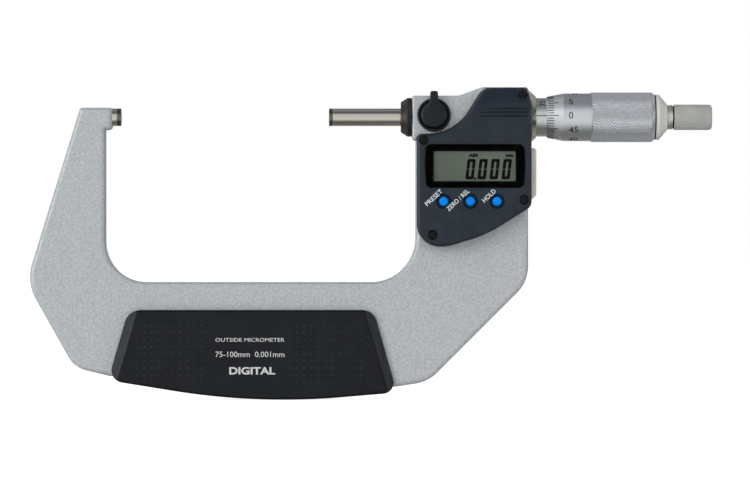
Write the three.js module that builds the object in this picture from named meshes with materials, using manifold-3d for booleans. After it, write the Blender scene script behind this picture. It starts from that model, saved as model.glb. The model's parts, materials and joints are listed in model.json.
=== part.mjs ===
// Digital outside micrometer, 75 to 100 mm, standing upright in the XZ plane.
// Millimetres, +Z up. The origin is the centre of the anvil's measuring face, +X runs along the
// spindle towards the thimble, and the display looks along -Y.
import * as THREE from "three";
import { mergeVertices } from "three/addons/utils/BufferGeometryUtils.js";
import Module from "manifold-3d";

const manifold = await Module();
manifold.setup();

// ---------- driving dimensions ----------

const GAP_LEAST = 75; // anvil face to spindle face with the spindle fully advanced
const TRAVEL = 25; // spindle feed, 50 turns of 0.5 mm
const SPINDLE_R = 3.175;
const TIP_LENGTH = 1.4; // carbide face on the anvil and on the spindle
const ANVIL_START = -13; // end of the anvil inside the arm
const RUNNING_GAP = 0.06; // radial, round part turning in a bore
const SEAT_GAP = 0.05; // between parts that rest on each other
const PAST = 1; // how far a cutting solid runs past the face it cuts

const BOW_HALF = 4.75; // half thickness of the bow
const BOW_BEVEL = 0.6;
const HEAD_FRONT = -7; // flat front of the spindle head
const HEAD_BACK = 7.5;
const SEAT_Y = -5; // plane on the frame that the display cover is screwed to
const BOARD_RECESS = -2; // floor of the recess behind that plane
const BLOCK_BACK = 8; // back of the block behind the display

const HEAD_LEFT = 105; // face that the nose nut stands on
const SPIGOT = { start: 103.3, r: 4.8 }; // nose of the frame inside the nose nut
const NOSE_START = 100.9;
const NOSE_R = 7;
const BEARING_END = 131; // end of the long spindle bearing, start of the encoder chamber
const CHAMBER_END = 143.6;
const CHAMBER_R = 9.6;
const DRUM_R = 10.9;
const DRUM_END = 145.8;
const BOSS_END = 149.65; // face that the sleeve comes out of
const BOSS_R = 7.5;
const SLEEVE_BOSS_R = 8.6; // wall round the sleeve where the cover is cut away for it

const COVER_FRONT = -13;
const COVER_RIM = -5.5;
const COVER_WALL = 1.5;
const COVER_BEVEL = 1;
const COVER_REACH = { x: [100, 150], z: [-60, 0] }; // room that holds the whole cover
const COVER_SCREWS = [
  { name: "cover_screw_top_right", x: 144.7, z: 7.7, front: -10.2 },
  { name: "cover_screw_top_left", x: 109.0, z: -8.5, front: COVER_FRONT },
  { name: "cover_screw_low_right", x: 145.1, z: -30.0, front: COVER_FRONT },
  { name: "cover_screw_low_left", x: 112.3, z: -42.5, front: COVER_FRONT },
];
const COVER_SCREW = { headR: 1.45, seatR: 1.6, shankR: 0.9, holeR: 1, postR: 2.2, sunk: 0.2, end: -2.4 };

const WINDOW_FRONT = -13.3;
const WINDOW_BACK = -11.5;
const LENS_FRONT = -13.15;
const LENS_BACK = -12.25;
const LCD = { x: [112.2, 142.4], z: [-23.7, -12.1], front: -11.35, back: -9.7 };
const BOARD_Y = [-8.9, -7.9];
const BUTTON_X = { left: 116.2, middle: 125.8, right: 135.3 };
const BUTTON = { z: -30.5, r: 1.85, top: -13.55, shoulder: -11.35, flangeR: 2.6, back: -10.7 };
const BUTTON_HOLE_R = 2.05;
const KEY_PAD_Y = [-10, -9.45];

const CLAMP = { x: 112.8, z: 0.6, r: 6, reach: 8.5, bore: 2.1, floor: -2, stemR: 1.5 };
const BATTERY = { x: 127, z: -27, r: 5.8, thickness: 5.4, y: 0.55, pocketR: 6.1 };
const LID = { r: 8.6, plugR: 7.05, start: 6.05, y: 7.05, out: 8.25, slotHalf: 0.7, slotDepth: 0.9 };
const O_RING = { y: 6.62, r: 7.65, halfY: 0.38, halfR: 0.45 };
const CONTACT_HOLE_R = 1.3; // hole from the battery pocket through to the main board
const PORT = { y: 0.6, start: 147, out: 149.75, halfWidth: 4.6 };
const PORT_RECESS = { x: [141.9, 148], halfWidth: 3, z: [-25.5, -15.2] };
const PORT_SCREW = { z: [-13.3, -27.4], start: 142, shankR: 0.8, holeR: 0.95, headR: 1.4, seatR: 1.6 };

const GRIP_HALF = 8.5; // outer face of the grip plates
const GRIP_BEVEL = 1;
const GRIP_SCREW = { x: [14, 82], z: -84, shankR: 1.3, holeR: 1.4, headR: 2.4, seatR: 2.6, seat: 6.8 };

const SLEEVE_START = 144;
const SLEEVE_R = 6.95;
const SLEEVE_BORE = 6.15;
const SLEEVE_END = 181.5;
const THREAD_START = 143; // first turn of the spindle thread
const THREAD_R = 3.5;
const NUT_END = 184.2;
const THIMBLE_EDGE = 153.5; // bevelled reading edge of the thimble
const THIMBLE_R = 9;
const THIMBLE_END = 192.3;
const CAP_START = 192.4;
const CAP_END = 197;
const KNOB_START = 199.1;
const KNOB_END = 213.1;
const KNOB_R = 4.6;

const ROUND = 28; // sides of a large turned part
const CHORD_ERROR = 0.08; // how far a flat facet may leave a fillet's arc
const SHAFT = 24; // sides of the spindle, the anvil and their bores
const SMALL = 12; // sides of a screw, pin or button

// Corners as [x, z, fillet radius].
const ARM_CORNERS = [
  [-14.7, 3.35, 1],
  [-3.2, 3.35, 0.8],
  [-3.2, -4.5, 1.3],
  [-5.6, -4.6],
];
const THROAT_CORNERS = [
  [-5.6, -59.5, 14.5],
  [106.2, -59.5, 16],
];
const HEAD_TOP_CORNERS = [
  [HEAD_LEFT, 7.6, 0.8],
  [121.9, 7.6, 4],
  [127.9, 9.9, 3],
  [130.5, 10.65, 1],
  [146.7, 10.65, 1.2],
];
const BACK_CORNERS = [
  [146.8, -59.4, 13],
  [110.8, -95.4, 14],
  [99.2, -97.2],
  [50, -99.2, 400],
  [-4.5, -93.3],
  [-16.8, -90.3, 10],
  [-34.1, -59.6, 16],
];
const COVER_CORNERS = [
  [106.6, -6.45, 2],
  [120.3, -6.45, 18],
  [130.8, 10.5, 6],
  [146.1, 10.5, 1.6],
  [147.7, 3.9, 3],
  [147.7, -32.4, 3.5],
  [131.5, -42.5, 45],
  [117.8, -46.7, 16],
  [106.6, -46.85, 8.2],
];
const WINDOW_CORNERS = [
  [109.8, -10.05, 2],
  [144.9, -10.05, 2],
  [145.5, -16.3],
  [144.9, -25.65, 2],
  [109.9, -25.65, 2],
  [109.2, -16.3],
];
const BOARD_CORNERS = [
  [111.4, -11.6, 1],
  [142.6, -11.6, 1],
  [142.6, -31, 1],
  [120, -40.6, 2],
  [111.4, -38, 2],
];
const GRIP_CORNERS = [
  [2.9, -69.5, 6],
  [91.1, -69.5, 5.5],
  [99.5, -99.2, 4],
  [49.2, -103.5, 250],
  [-4.4, -94.8, 4.5],
];

// ---------- materials ----------

function material(color, roughness, metalness = 0) {
  return new THREE.MeshStandardMaterial({ color, roughness, metalness });
}

const paint = material(0xb9bdc1, 0.5);
const steel = material(0xc9cbcd, 0.28, 1);
const satinChrome = material(0xbfc2c4, 0.38, 0.9);
const carbide = material(0x6b6a66, 0.3, 1);
const blackened = material(0x2a2622, 0.35, 0.6);
const darkPlastic = material(0x30343c, 0.45);
const gripPlastic = material(0x262829, 0.55);
const blackPlastic = material(0x0b0c0e, 0.2);
const bluePlastic = material(0x0a82e6, 0.35);
const greyPlastic = material(0xa5a39b, 0.5);
const rubber = material(0x1c1c1c, 0.8);
const brass = material(0xb59a55, 0.35, 1);
const board = material(0x1e5a36, 0.6);
const displayGlass = material(0x6e786c, 0.25);
const clearPlastic = material(0xe8eef0, 0.08);

// ---------- outlines and solids ----------

const toVector = ([x, z]) => new THREE.Vector2(x, z);
const at = (list, i) => list[(i + list.length) % list.length];

// Closed outline through [x, z, radius] corners, each rounded by its own radius.
function rounded(corners) {
  return corners.flatMap((entry, i) => {
    const radius = entry[2] ?? 0;
    const corner = toVector(entry);
    if (radius === 0) return [corner];
    const before = toVector(at(corners, i - 1)).sub(corner).normalize();
    const after = toVector(at(corners, i + 1)).sub(corner).normalize();
    const half = Math.acos(before.dot(after)) / 2;
    const middle = before.clone().add(after).normalize();
    const centre = middle.multiplyScalar(radius / Math.sin(half)).add(corner);
    const start = before.multiplyScalar(radius / Math.tan(half)).add(corner).sub(centre);
    const end = after.multiplyScalar(radius / Math.tan(half)).add(corner).sub(centre);
    const turn = Math.atan2(start.cross(end), start.dot(end));
    const arcStep = 2 * Math.acos(1 - Math.min(CHORD_ERROR / radius, 0.08));
    const steps = Math.ceil(Math.abs(turn) / arcStep);
    const origin = new THREE.Vector2();
    return Array.from({ length: steps + 1 }, (_, k) =>
      start.clone().rotateAround(origin, (turn * k) / steps).add(centre),
    );
  });
}

// The same outline moved inwards by a distance, or outwards by a negative one.
function inset(outline, distance) {
  const inward = THREE.ShapeUtils.isClockWise(outline) ? -distance : distance;
  return outline.map((point, i) => {
    const before = point.clone().sub(at(outline, i - 1)).normalize();
    const after = at(outline, i + 1).clone().sub(point).normalize();
    const normal = new THREE.Vector2(-before.y, before.x);
    const bisector = new THREE.Vector2(-before.y - after.y, before.x + after.x).normalize();
    return bisector.multiplyScalar(inward / bisector.dot(normal)).add(point);
  });
}

function toSolid(geometry) {
  const bare = new THREE.BufferGeometry();
  const flat = geometry.index ? geometry.toNonIndexed() : geometry;
  bare.setAttribute("position", flat.getAttribute("position"));
  const merged = mergeVertices(bare, 1e-5);
  const mesh = new manifold.Mesh({
    numProp: 3,
    vertProperties: merged.attributes.position.array,
    triVerts: new Uint32Array(merged.index.array),
  });
  return new manifold.Manifold(mesh);
}

function toGeometry(solid) {
  const mesh = solid.getMesh();
  const geometry = new THREE.BufferGeometry();
  geometry.setAttribute("position", new THREE.BufferAttribute(mesh.vertProperties, 3));
  geometry.setIndex(new THREE.BufferAttribute(mesh.triVerts, 1));
  geometry.computeVertexNormals();
  return geometry;
}

// Flat part: an XZ outline given thickness from yFront to yBack, with both edges bevelled.
function plate(outline, yFront, yBack, bevel = 0) {
  const geometry = new THREE.ExtrudeGeometry(new THREE.Shape(outline), {
    depth: yBack - yFront - 2 * bevel,
    bevelEnabled: bevel > 0,
    bevelThickness: bevel,
    bevelSize: bevel,
    bevelOffset: -bevel,
    bevelSegments: 1,
  });
  geometry.rotateX(Math.PI / 2);
  geometry.translate(0, yBack - bevel, 0);
  return toSolid(geometry);
}

// Turned part on the spindle axis, from [x, radius] points that start and end on the axis,
// or close on themselves for a ring.
function turned(profile, sides = ROUND) {
  const points = profile.map(([x, radius]) => new THREE.Vector2(radius, x));
  const geometry = new THREE.LatheGeometry(points, sides);
  geometry.rotateZ(-Math.PI / 2);
  return toSolid(geometry);
}

const rod = (x0, x1, radius, sides) => turned([[x0, 0], [x0, radius], [x1, radius], [x1, 0]], sides);

function ring(x0, x1, inner, outer, sides) {
  return turned([[x0, inner], [x0, outer], [x1, outer], [x1, inner], [x0, inner]], sides);
}

// Turned part on an axis along Y through (x, z), from [y, radius] points.
function turnedAcross(x, z, profile, sides = SMALL) {
  const points = profile.map(([y, radius]) => new THREE.Vector2(radius, y));
  const geometry = new THREE.LatheGeometry(points, sides);
  geometry.translate(x, 0, z);
  return toSolid(geometry);
}

function pin(x, z, y0, y1, radius, sides) {
  return turnedAcross(x, z, [[y0, 0], [y0, radius], [y1, radius], [y1, 0]], sides);
}

function box([x0, x1], [y0, y1], [z0, z1]) {
  const geometry = new THREE.BoxGeometry(x1 - x0, y1 - y0, z1 - z0);
  geometry.translate((x0 + x1) / 2, (y0 + y1) / 2, (z0 + z1) / 2);
  return toSolid(geometry);
}

const addAll = (first, others) => others.reduce((sum, other) => sum.add(other), first);
const cutAll = (first, others) => others.reduce((rest, other) => rest.subtract(other), first);

const model = new THREE.Group();

function addPart(name, solid, look) {
  const mesh = new THREE.Mesh(toGeometry(solid), look);
  mesh.name = name;
  model.add(mesh);
}

const coverOutline = rounded(COVER_CORNERS);
const windowOutline = rounded(WINDOW_CORNERS);
const LENS_MARGIN = 0.4; // lens seat round the visible display
const LENS_CORNER = 1.2;
const lensSeat = rounded([
  [LCD.x[0] - LENS_MARGIN, LCD.z[1] + LENS_MARGIN, LENS_CORNER],
  [LCD.x[1] + LENS_MARGIN, LCD.z[1] + LENS_MARGIN, LENS_CORNER],
  [LCD.x[1] + LENS_MARGIN, LCD.z[0] - LENS_MARGIN, LENS_CORNER],
  [LCD.x[0] - LENS_MARGIN, LCD.z[0] - LENS_MARGIN, LENS_CORNER],
]);
const boardOutline = rounded(BOARD_CORNERS);
const frameOutline = rounded([
  ...ARM_CORNERS,
  ...THROAT_CORNERS,
  [106.2, -8.4],
  [HEAD_LEFT, -7.2],
  ...HEAD_TOP_CORNERS,
  ...BACK_CORNERS,
]);
const headOutline = rounded([
  [HEAD_LEFT, -8.4, 1.2],
  ...HEAD_TOP_CORNERS,
  [146.7, -8.4],
]);

// ---------- frame and measuring faces ----------

function frameBores() {
  const screwEnd = COVER_SCREW.end + 0.1;
  return [
    rod(ANVIL_START - 0.3, 0, SPINDLE_R + SEAT_GAP, SHAFT),
    rod(NOSE_START, BEARING_END + PAST, SPINDLE_R + RUNNING_GAP, SHAFT),
    rod(BEARING_END, CHAMBER_END, CHAMBER_R),
    rod(CHAMBER_END - PAST, BOSS_END + PAST, SLEEVE_R + SEAT_GAP),
    pin(CLAMP.x, CLAMP.z, HEAD_FRONT - PAST, CLAMP.floor, CLAMP.bore),
    ...COVER_SCREWS.map(({ x, z }) => pin(x, z, SEAT_Y - PAST, screwEnd, COVER_SCREW.holeR)),
    ...PORT_SCREW.z.map((z) =>
      rod(PORT_SCREW.start - 0.2, PORT.start + PAST, 0.85, SMALL).translate(0, PORT.y, z),
    ),
    ...GRIP_SCREW.x.map((x) =>
      pin(x, GRIP_SCREW.z, -BOW_HALF - PAST, BOW_HALF + PAST, GRIP_SCREW.holeR),
    ),
  ];
}

function batteryPocket() {
  const { x, z, pocketR } = BATTERY;
  const open = BLOCK_BACK + PAST;
  const [grooveStart, grooveEnd] = [O_RING.y - 0.5, O_RING.y + 0.5];
  const grooveR = O_RING.r + 0.6;
  const groove = [
    [grooveStart, 7], [grooveStart, grooveR], [grooveEnd, grooveR], [grooveEnd, 7],
    [grooveStart, 7],
  ];
  return [
    pin(x, z, 0, open, pocketR, SHAFT),
    pin(x, z, LID.start - 0.15, open, LID.plugR + 0.15, SHAFT),
    pin(x, z, LID.y - SEAT_GAP, open, LID.r + 0.2, SHAFT),
    turnedAcross(x, z, groove, SHAFT),
    pin(x, z, BOARD_RECESS - PAST, PAST, CONTACT_HOLE_R),
  ];
}

function frame() {
  const drum = [[129.5, 0], [129.5, CHAMBER_R], [BEARING_END, DRUM_R], [DRUM_END, DRUM_R]];
  const boss = [[BOSS_END, BOSS_R], [BOSS_END, 0]];
  const body = addAll(plate(frameOutline, -BOW_HALF, BOW_HALF, BOW_BEVEL), [
    plate(headOutline, HEAD_FRONT, HEAD_BACK, BOW_BEVEL),
    plate(inset(coverOutline, 0.8), SEAT_Y, BLOCK_BACK, BOW_BEVEL),
    turned([...drum, ...boss], ROUND),
    rod(SPIGOT.start, HEAD_LEFT + PAST, SPIGOT.r),
  ]);
  const roomForCover = plate(inset(coverOutline, -0.35), COVER_FRONT - PAST, SEAT_Y);
  const sleeveBoss = [[CHAMBER_END, 0], [CHAMBER_END, SLEEVE_BOSS_R], [148.3, SLEEVE_BOSS_R]];
  const portY = [PORT.y - PORT_RECESS.halfWidth, PORT.y + PORT_RECESS.halfWidth];
  return cutAll(body.subtract(roomForCover).add(turned([...sleeveBoss, ...boss], ROUND)), [
    plate(inset(boardOutline, -0.8), SEAT_Y - PAST, BOARD_RECESS),
    box(PORT_RECESS.x, portY, PORT_RECESS.z),
    ...frameBores(),
    ...batteryPocket(),
  ]);
}

addPart("frame", frame(), paint);
addPart("anvil", rod(ANVIL_START, -TIP_LENGTH - SEAT_GAP, SPINDLE_R, SHAFT), steel);
addPart("anvil_tip", rod(-TIP_LENGTH, 0, SPINDLE_R, SHAFT), carbide);

// ---------- spindle head ----------

function noseNut() {
  const back = HEAD_LEFT - SEAT_GAP;
  const recessStart = 101.8;
  const threadR = SPIGOT.r + 0.1;
  const mouthR = SPINDLE_R + 0.2;
  return turned([
    [NOSE_START, mouthR], [NOSE_START, 5.5], [103.4, NOSE_R], [back, NOSE_R], [back, threadR],
    [recessStart, threadR], [recessStart, mouthR], [NOSE_START, mouthR],
  ]);
}

addPart("nose_nut", noseNut(), blackened);
addPart("wiper_ring", ring(101.9, SPIGOT.start - 0.1, SPINDLE_R + RUNNING_GAP, SPIGOT.r), rubber);

function clampLever() {
  const back = HEAD_FRONT - 0.3;
  const disc = turnedAcross(CLAMP.x, CLAMP.z, [
    [-10.6, 0], [-10.6, 4.9], [-10.1, 5.5], [-9, CLAMP.r], [back, CLAMP.r], [back, 0],
  ], SHAFT);
  const tip = CLAMP.z + CLAMP.reach;
  const root = CLAMP.z + 2.4;
  const pointer = rounded([
    [CLAMP.x - 1.35, tip, 0.6],
    [CLAMP.x + 1.35, tip, 0.6],
    [CLAMP.x + 2.8, root],
    [CLAMP.x - 2.8, root],
  ]);
  const socket = pin(CLAMP.x, CLAMP.z, -9.4, -6, CLAMP.stemR + SEAT_GAP);
  return disc.add(plate(pointer, -11.6, -8.2, 0.3)).subtract(socket);
}

addPart("clamp_lever", clampLever(), darkPlastic);
addPart("clamp_stem", pin(CLAMP.x, CLAMP.z, -9.3, -4.4, CLAMP.stemR), steel);
addPart("clamp_shoe", pin(CLAMP.x, CLAMP.z, -4.25, -3.3, CLAMP.bore - 0.2), brass);

// ---------- display unit ----------

// The front of the cover: flat below the spindle axis, and a barrel about the axis above it.
function coverEnvelope(wall) {
  const { x, z } = COVER_REACH;
  const lower = box(x, [COVER_FRONT + wall, 0], z);
  return lower.add(rod(x[0], x[1], -COVER_FRONT - wall, 2 * ROUND));
}

function coverShell() {
  const { x, z } = COVER_REACH;
  const block = plate(coverOutline, COVER_FRONT, COVER_RIM + PAST, COVER_BEVEL);
  const behindRim = box(x, [COVER_RIM, 0], [z[0], 20]);
  const outer = block.intersect(coverEnvelope(0)).subtract(behindRim);
  const hollow = plate(inset(coverOutline, COVER_WALL), COVER_FRONT, 0);
  return outer.subtract(hollow.intersect(coverEnvelope(COVER_WALL)));
}

// Room for the sleeve boss in the cover and its gasket.
const sleeveNotch = () => rod(CHAMBER_END - 0.3, BOSS_END, SLEEVE_BOSS_R + 0.3, ROUND);

function coverCuts() {
  const outside = COVER_FRONT - PAST;
  const { holeR, seatR } = COVER_SCREW;
  const buttons = Object.values(BUTTON_X);
  return [
    sleeveNotch(),
    plate(inset(windowOutline, -0.1), outside, WINDOW_BACK + 0.1),
    ...buttons.map((x) => pin(x, BUTTON.z, outside, -10, BUTTON_HOLE_R)),
    ...buttons.map((x) => pin(x, BUTTON.z, outside, COVER_FRONT + 0.4, BUTTON.flangeR)),
    ...COVER_SCREWS.map(({ x, z }) => pin(x, z, outside, SEAT_Y, holeR)),
    ...COVER_SCREWS.map(({ x, z, front }) => pin(x, z, outside, front + 1.3, seatR)),
  ];
}

function frontCover() {
  const posts = COVER_SCREWS.map(({ x, z }) =>
    pin(x, z, COVER_FRONT, COVER_RIM, COVER_SCREW.postR),
  );
  const trimmed = addAll(posts[0], posts.slice(1)).intersect(coverEnvelope(0.5));
  const inside = trimmed.intersect(plate(inset(coverOutline, 0.5), COVER_FRONT, 0));
  return cutAll(coverShell().add(inside), coverCuts());
}

function coverGasket() {
  const outer = plate(inset(coverOutline, 0.5), COVER_RIM + SEAT_GAP, SEAT_Y - SEAT_GAP);
  const inner = plate(inset(coverOutline, 1.15), COVER_RIM - PAST, SEAT_Y + PAST);
  return outer.subtract(inner).subtract(sleeveNotch());
}

function windowFrame() {
  const seat = plate(lensSeat, WINDOW_FRONT - PAST, LENS_BACK + SEAT_GAP);
  const opening = plate(inset(lensSeat, 0.8), WINDOW_FRONT - PAST, WINDOW_BACK + PAST);
  const bezel = plate(windowOutline, WINDOW_FRONT, WINDOW_BACK, 0.15);
  return bezel.subtract(seat).subtract(opening);
}

function button(x) {
  const { z, r, top, shoulder, flangeR, back } = BUTTON;
  return turnedAcross(x, z, [
    [top, 0], [top, 1.5], [-13.2, r], [shoulder, r], [shoulder, flangeR], [back, flangeR],
    [back, 0],
  ], SHAFT);
}

// Cross-recessed screw along +Y: its head lies from front to shoulder.
function coverScrew(x, z, front) {
  const { headR, shankR, end } = COVER_SCREW;
  const shoulder = front + 1;
  const body = turnedAcross(x, z, [
    [front, 0], [front, headR], [shoulder, headR], [shoulder, shankR], [end, shankR], [end, 0],
  ]);
  const slots = [[0.8, 0.2], [0.2, 0.8]].map(([halfX, halfZ]) =>
    box([x - halfX, x + halfX], [front - PAST, front + 0.5], [z - halfZ, z + halfZ]),
  );
  return cutAll(body, slots);
}

addPart("front_cover", frontCover(), darkPlastic);
addPart("cover_gasket", coverGasket(), rubber);
addPart("window_frame", windowFrame(), blackPlastic);
addPart("window_lens", plate(inset(lensSeat, 0.1), LENS_FRONT, LENS_BACK), clearPlastic);
addPart("lcd_panel", box(LCD.x, [LCD.front, LCD.back], [-24.4, -11.9]), displayGlass);
addPart("lcd_connector", box([114, 140.6], [LCD.back + 0.1, BOARD_Y[0] - 0.05], [-24.2, -22.6]), rubber);
addPart("main_board", plate(boardOutline, ...BOARD_Y), board);
addPart("key_pad", box([113, 138.5], KEY_PAD_Y, [-33.6, -27.4]), rubber);
for (const [side, x] of Object.entries(BUTTON_X)) {
  addPart(`button_${side}`, button(x), bluePlastic);
  const dome = [[-9.35, 0], [-9.35, 0.9], [-8.95, 1.9], [-8.95, 0]];
  addPart(`switch_dome_${side}`, turnedAcross(x, BUTTON.z, dome), steel);
}
for (const { name, x, z, front } of COVER_SCREWS) {
  addPart(name, coverScrew(x, z, front + COVER_SCREW.sunk), blackened);
}

// ---------- battery and data port ----------

function batteryContact() {
  const { x, z } = BATTERY;
  const leaf = box([x - 3, x + 3], [0.08, 0.4], [z - 1.5, z + 1.5]);
  return leaf.add(pin(x, z, BOARD_Y[1] + 0.1, 0.2, 0.8, SMALL));
}

function batteryLid() {
  const { x, z } = BATTERY;
  const { r, plugR, start, y, out, slotHalf, slotDepth } = LID;
  const disc = turnedAcross(x, z, [
    [start, 0], [start, plugR], [y, plugR], [y, r], [out - 0.3, r], [out, r - 0.3], [out, 0],
  ], SHAFT);
  const slot = box([x - 5, x + 5], [out - slotDepth, out + PAST], [z - slotHalf, z + slotHalf]);
  return disc.subtract(slot);
}

function oRing() {
  const sides = 6;
  const section = Array.from({ length: sides + 1 }, (_, i) => {
    const angle = (2 * Math.PI * i) / sides;
    return [
      O_RING.y + O_RING.halfY * Math.sin(angle),
      O_RING.r + O_RING.halfR * Math.cos(angle),
    ];
  });
  return turnedAcross(BATTERY.x, BATTERY.z, section, SHAFT);
}

function portCap() {
  const outline = rounded([
    [PORT.start, -11.2],
    [PORT.out, -11.2, 1.2],
    [PORT.out, -28.1, 0.8],
    [148.2, -29.7],
    [PORT.start, -29.7],
  ]);
  const end = PORT.out + PAST;
  const holes = PORT_SCREW.z.flatMap((z) => [
    rod(PORT.start - PAST, end, PORT_SCREW.holeR, SMALL).translate(0, PORT.y, z),
    rod(148.6, end, PORT_SCREW.seatR, SMALL).translate(0, PORT.y, z),
  ]);
  const body = plate(outline, PORT.y - PORT.halfWidth, PORT.y + PORT.halfWidth, 0.5);
  return cutAll(body, holes);
}

function portScrew(z) {
  const { start, shankR, headR } = PORT_SCREW;
  const [shoulder, face] = [148.7, 149.5];
  const body = turned([
    [start, 0], [start, shankR], [shoulder, shankR], [shoulder, headR], [face, headR], [face, 0],
  ], SMALL);
  const slot = box([face - 0.4, face + PAST], [-2, 2], [-0.2, 0.2]);
  return body.subtract(slot).translate(0, PORT.y, z);
}

function portSocket() {
  const across = (half) => [PORT.y - half, PORT.y + half];
  const shell = box([142.1, 146.9], across(2.8), [-25.3, -15.4]);
  const mouth = box([143.5, 148], across(2), [-24.4, -16.3]);
  const tongue = box([143, 146.3], across(0.6), [-23.6, -17.1]);
  return shell.subtract(mouth).add(tongue);
}

addPart(
  "battery",
  pin(BATTERY.x, BATTERY.z, BATTERY.y, BATTERY.y + BATTERY.thickness, BATTERY.r, SHAFT),
  steel,
);
addPart("battery_contact", batteryContact(), brass);
addPart("battery_lid", batteryLid(), satinChrome);
addPart("lid_o_ring", oRing(), rubber);
addPart("port_cap", portCap(), greyPlastic);
addPart("port_screw_upper", portScrew(PORT_SCREW.z[0]), blackened);
addPart("port_screw_lower", portScrew(PORT_SCREW.z[1]), blackened);
addPart("port_socket", portSocket(), blackPlastic);

// ---------- encoder ----------

const STATOR_X = [133, 134.4];
const ROTOR_X = [135, 136.4];
const ROTOR_HUB = { end: 142, r: 5.2, bore: SPINDLE_R + 0.125 };
const KEY = { x: [137.6, 140.4], halfWidth: 0.4, z: [2.7, 4.7] };
const KEYWAY = { halfWidth: 0.5, floor: 2.5 };

function encoderRotor() {
  const [start, discEnd] = ROTOR_X;
  const { end, r, bore } = ROTOR_HUB;
  const profile = [
    [start, bore], [start, 9], [discEnd, 9], [discEnd, r], [end, r], [end, bore], [start, bore],
  ];
  const keySlot = box(
    [KEY.x[0] - 0.1, KEY.x[1] + 0.1],
    [-KEYWAY.halfWidth, KEYWAY.halfWidth],
    [2, KEY.z[1] + 0.1],
  );
  return turned(profile).subtract(keySlot);
}

addPart("encoder_stator", ring(...STATOR_X, 4.4, 9.2), board);
addPart("encoder_cable", box([131.5, 136], [-7.6, -7.3], [-16, -9.4]), brass);
addPart("encoder_rotor", encoderRotor(), board);
addPart("rotor_key", box(KEY.x, [-KEY.halfWidth, KEY.halfWidth], KEY.z), steel);

// ---------- spindle, sleeve and thimble ----------

const NUT = { bore: THREAD_R + 0.12, r: 6.1, threadStart: 178.5, threadR: 5.2, endR: 4.7 };
const ADJUSTER = { x: [SLEEVE_END + 0.2, NUT_END - 0.2], r: 6.6 };
const THIMBLE_BORE = { r: SLEEVE_R + 0.12, end: 185.2 };
const SPINDLE_TAIL = 191.6; // small end of the taper that the thimble is drawn onto

function spindle() {
  const front = GAP_LEAST + TIP_LENGTH + SEAT_GAP;
  const body = turned([
    [front, 0], [front, SPINDLE_R], [THREAD_START, SPINDLE_R], [THREAD_START, THREAD_R],
    [186, THREAD_R], [SPINDLE_TAIL, 2.8], [SPINDLE_TAIL, 0],
  ], SHAFT);
  const keyway = box(
    [KEY.x[0] - TRAVEL - 0.5, KEY.x[1] + 0.5],
    [-KEYWAY.halfWidth, KEYWAY.halfWidth],
    [KEYWAY.floor, SPINDLE_R + PAST],
  );
  const screwHole = rod(183, SPINDLE_TAIL + PAST, 1.5, SMALL);
  return body.subtract(keyway).subtract(screwHole);
}

function sleeveNut() {
  const { bore, r, threadStart, threadR, endR } = NUT;
  const body = turned([
    [SLEEVE_START, bore], [SLEEVE_START, r], [threadStart, r], [threadStart, threadR],
    [NUT_END, endR], [NUT_END, bore], [SLEEVE_START, bore],
  ]);
  const slit = box([173, NUT_END + PAST], [-0.3, 0.3], [0, r + PAST]);
  const slits = [0, 120, 240].map((angle) => slit.rotate([angle, 0, 0]));
  return cutAll(body, slits);
}

function adjustingNut() {
  const [start, end] = ADJUSTER.x;
  return turned([[start, 5.15], [start, ADJUSTER.r], [end, ADJUSTER.r], [end, 4.95], [start, 5.15]]);
}

function thimble() {
  const { r, end } = THIMBLE_BORE;
  return turned([
    [THIMBLE_EDGE, r], [THIMBLE_EDGE, 7.3], [159.5, 8.6], [169.4, 8.65], [169.6, THIMBLE_R],
    [THIMBLE_END - 1, THIMBLE_R], [THIMBLE_END, 8.2], [THIMBLE_END, 3], [186.4, 3.6], [end, 3.75],
    [end, r], [THIMBLE_EDGE, r],
  ], ROUND);
}

addPart("spindle", spindle(), steel);
addPart("spindle_tip", rod(GAP_LEAST, GAP_LEAST + TIP_LENGTH, SPINDLE_R, SHAFT), carbide);
addPart("sleeve", ring(SLEEVE_START, SLEEVE_END, SLEEVE_BORE, SLEEVE_R), satinChrome);
addPart("sleeve_nut", sleeveNut(), steel);
addPart("adjusting_nut", adjustingNut(), steel);
addPart("thimble", thimble(), satinChrome);

// ---------- ratchet stop ----------

const HUB = { neckR: 3.3, r: 4.4, end: 198.9, bore: 1.5 };
const CLICK = { teeth: 8, bore: 1.6, r: 3.1, fixed: [199, 200.2], sprung: [200.4, 201.7] };
const STOP_SCREW = { start: 187, shankR: 1.4, shoulder: 208.6, headR: 2.7, end: 210.2 };
const SPRING = { start: 202.3, length: 4, r: 2.6, turns: 3.5, wireR: 0.25, steps: 35 };

function endCap() {
  const bore = HUB.neckR + 0.1;
  return turned([
    [CAP_START, bore], [CAP_START, 7.8], [193.1, 7.8], [193.2, 8.2], [193.6, 8.2],
    [CAP_END, 4.7], [CAP_END, bore], [CAP_START, bore],
  ]);
}

function ratchetHub() {
  const { neckR, r, end, bore } = HUB;
  const flange = CAP_END + 0.1;
  return turned([
    [CAP_START, bore], [CAP_START, neckR], [flange, neckR], [flange, r], [end, r], [end, bore],
    [CAP_START, bore],
  ], SHAFT);
}

// Click plate: a ring with radial notches in the face at x = face.
function clickPlate(x0, x1, face) {
  const notch = box([face - 0.35, face + 0.35], [-0.25, 0.25], [1, CLICK.r + PAST]);
  const notches = Array.from({ length: CLICK.teeth }, (_, i) =>
    notch.rotate([(360 * i) / CLICK.teeth, 0, 0]),
  );
  return cutAll(ring(x0, x1, CLICK.bore, CLICK.r, SHAFT), notches);
}

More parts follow.
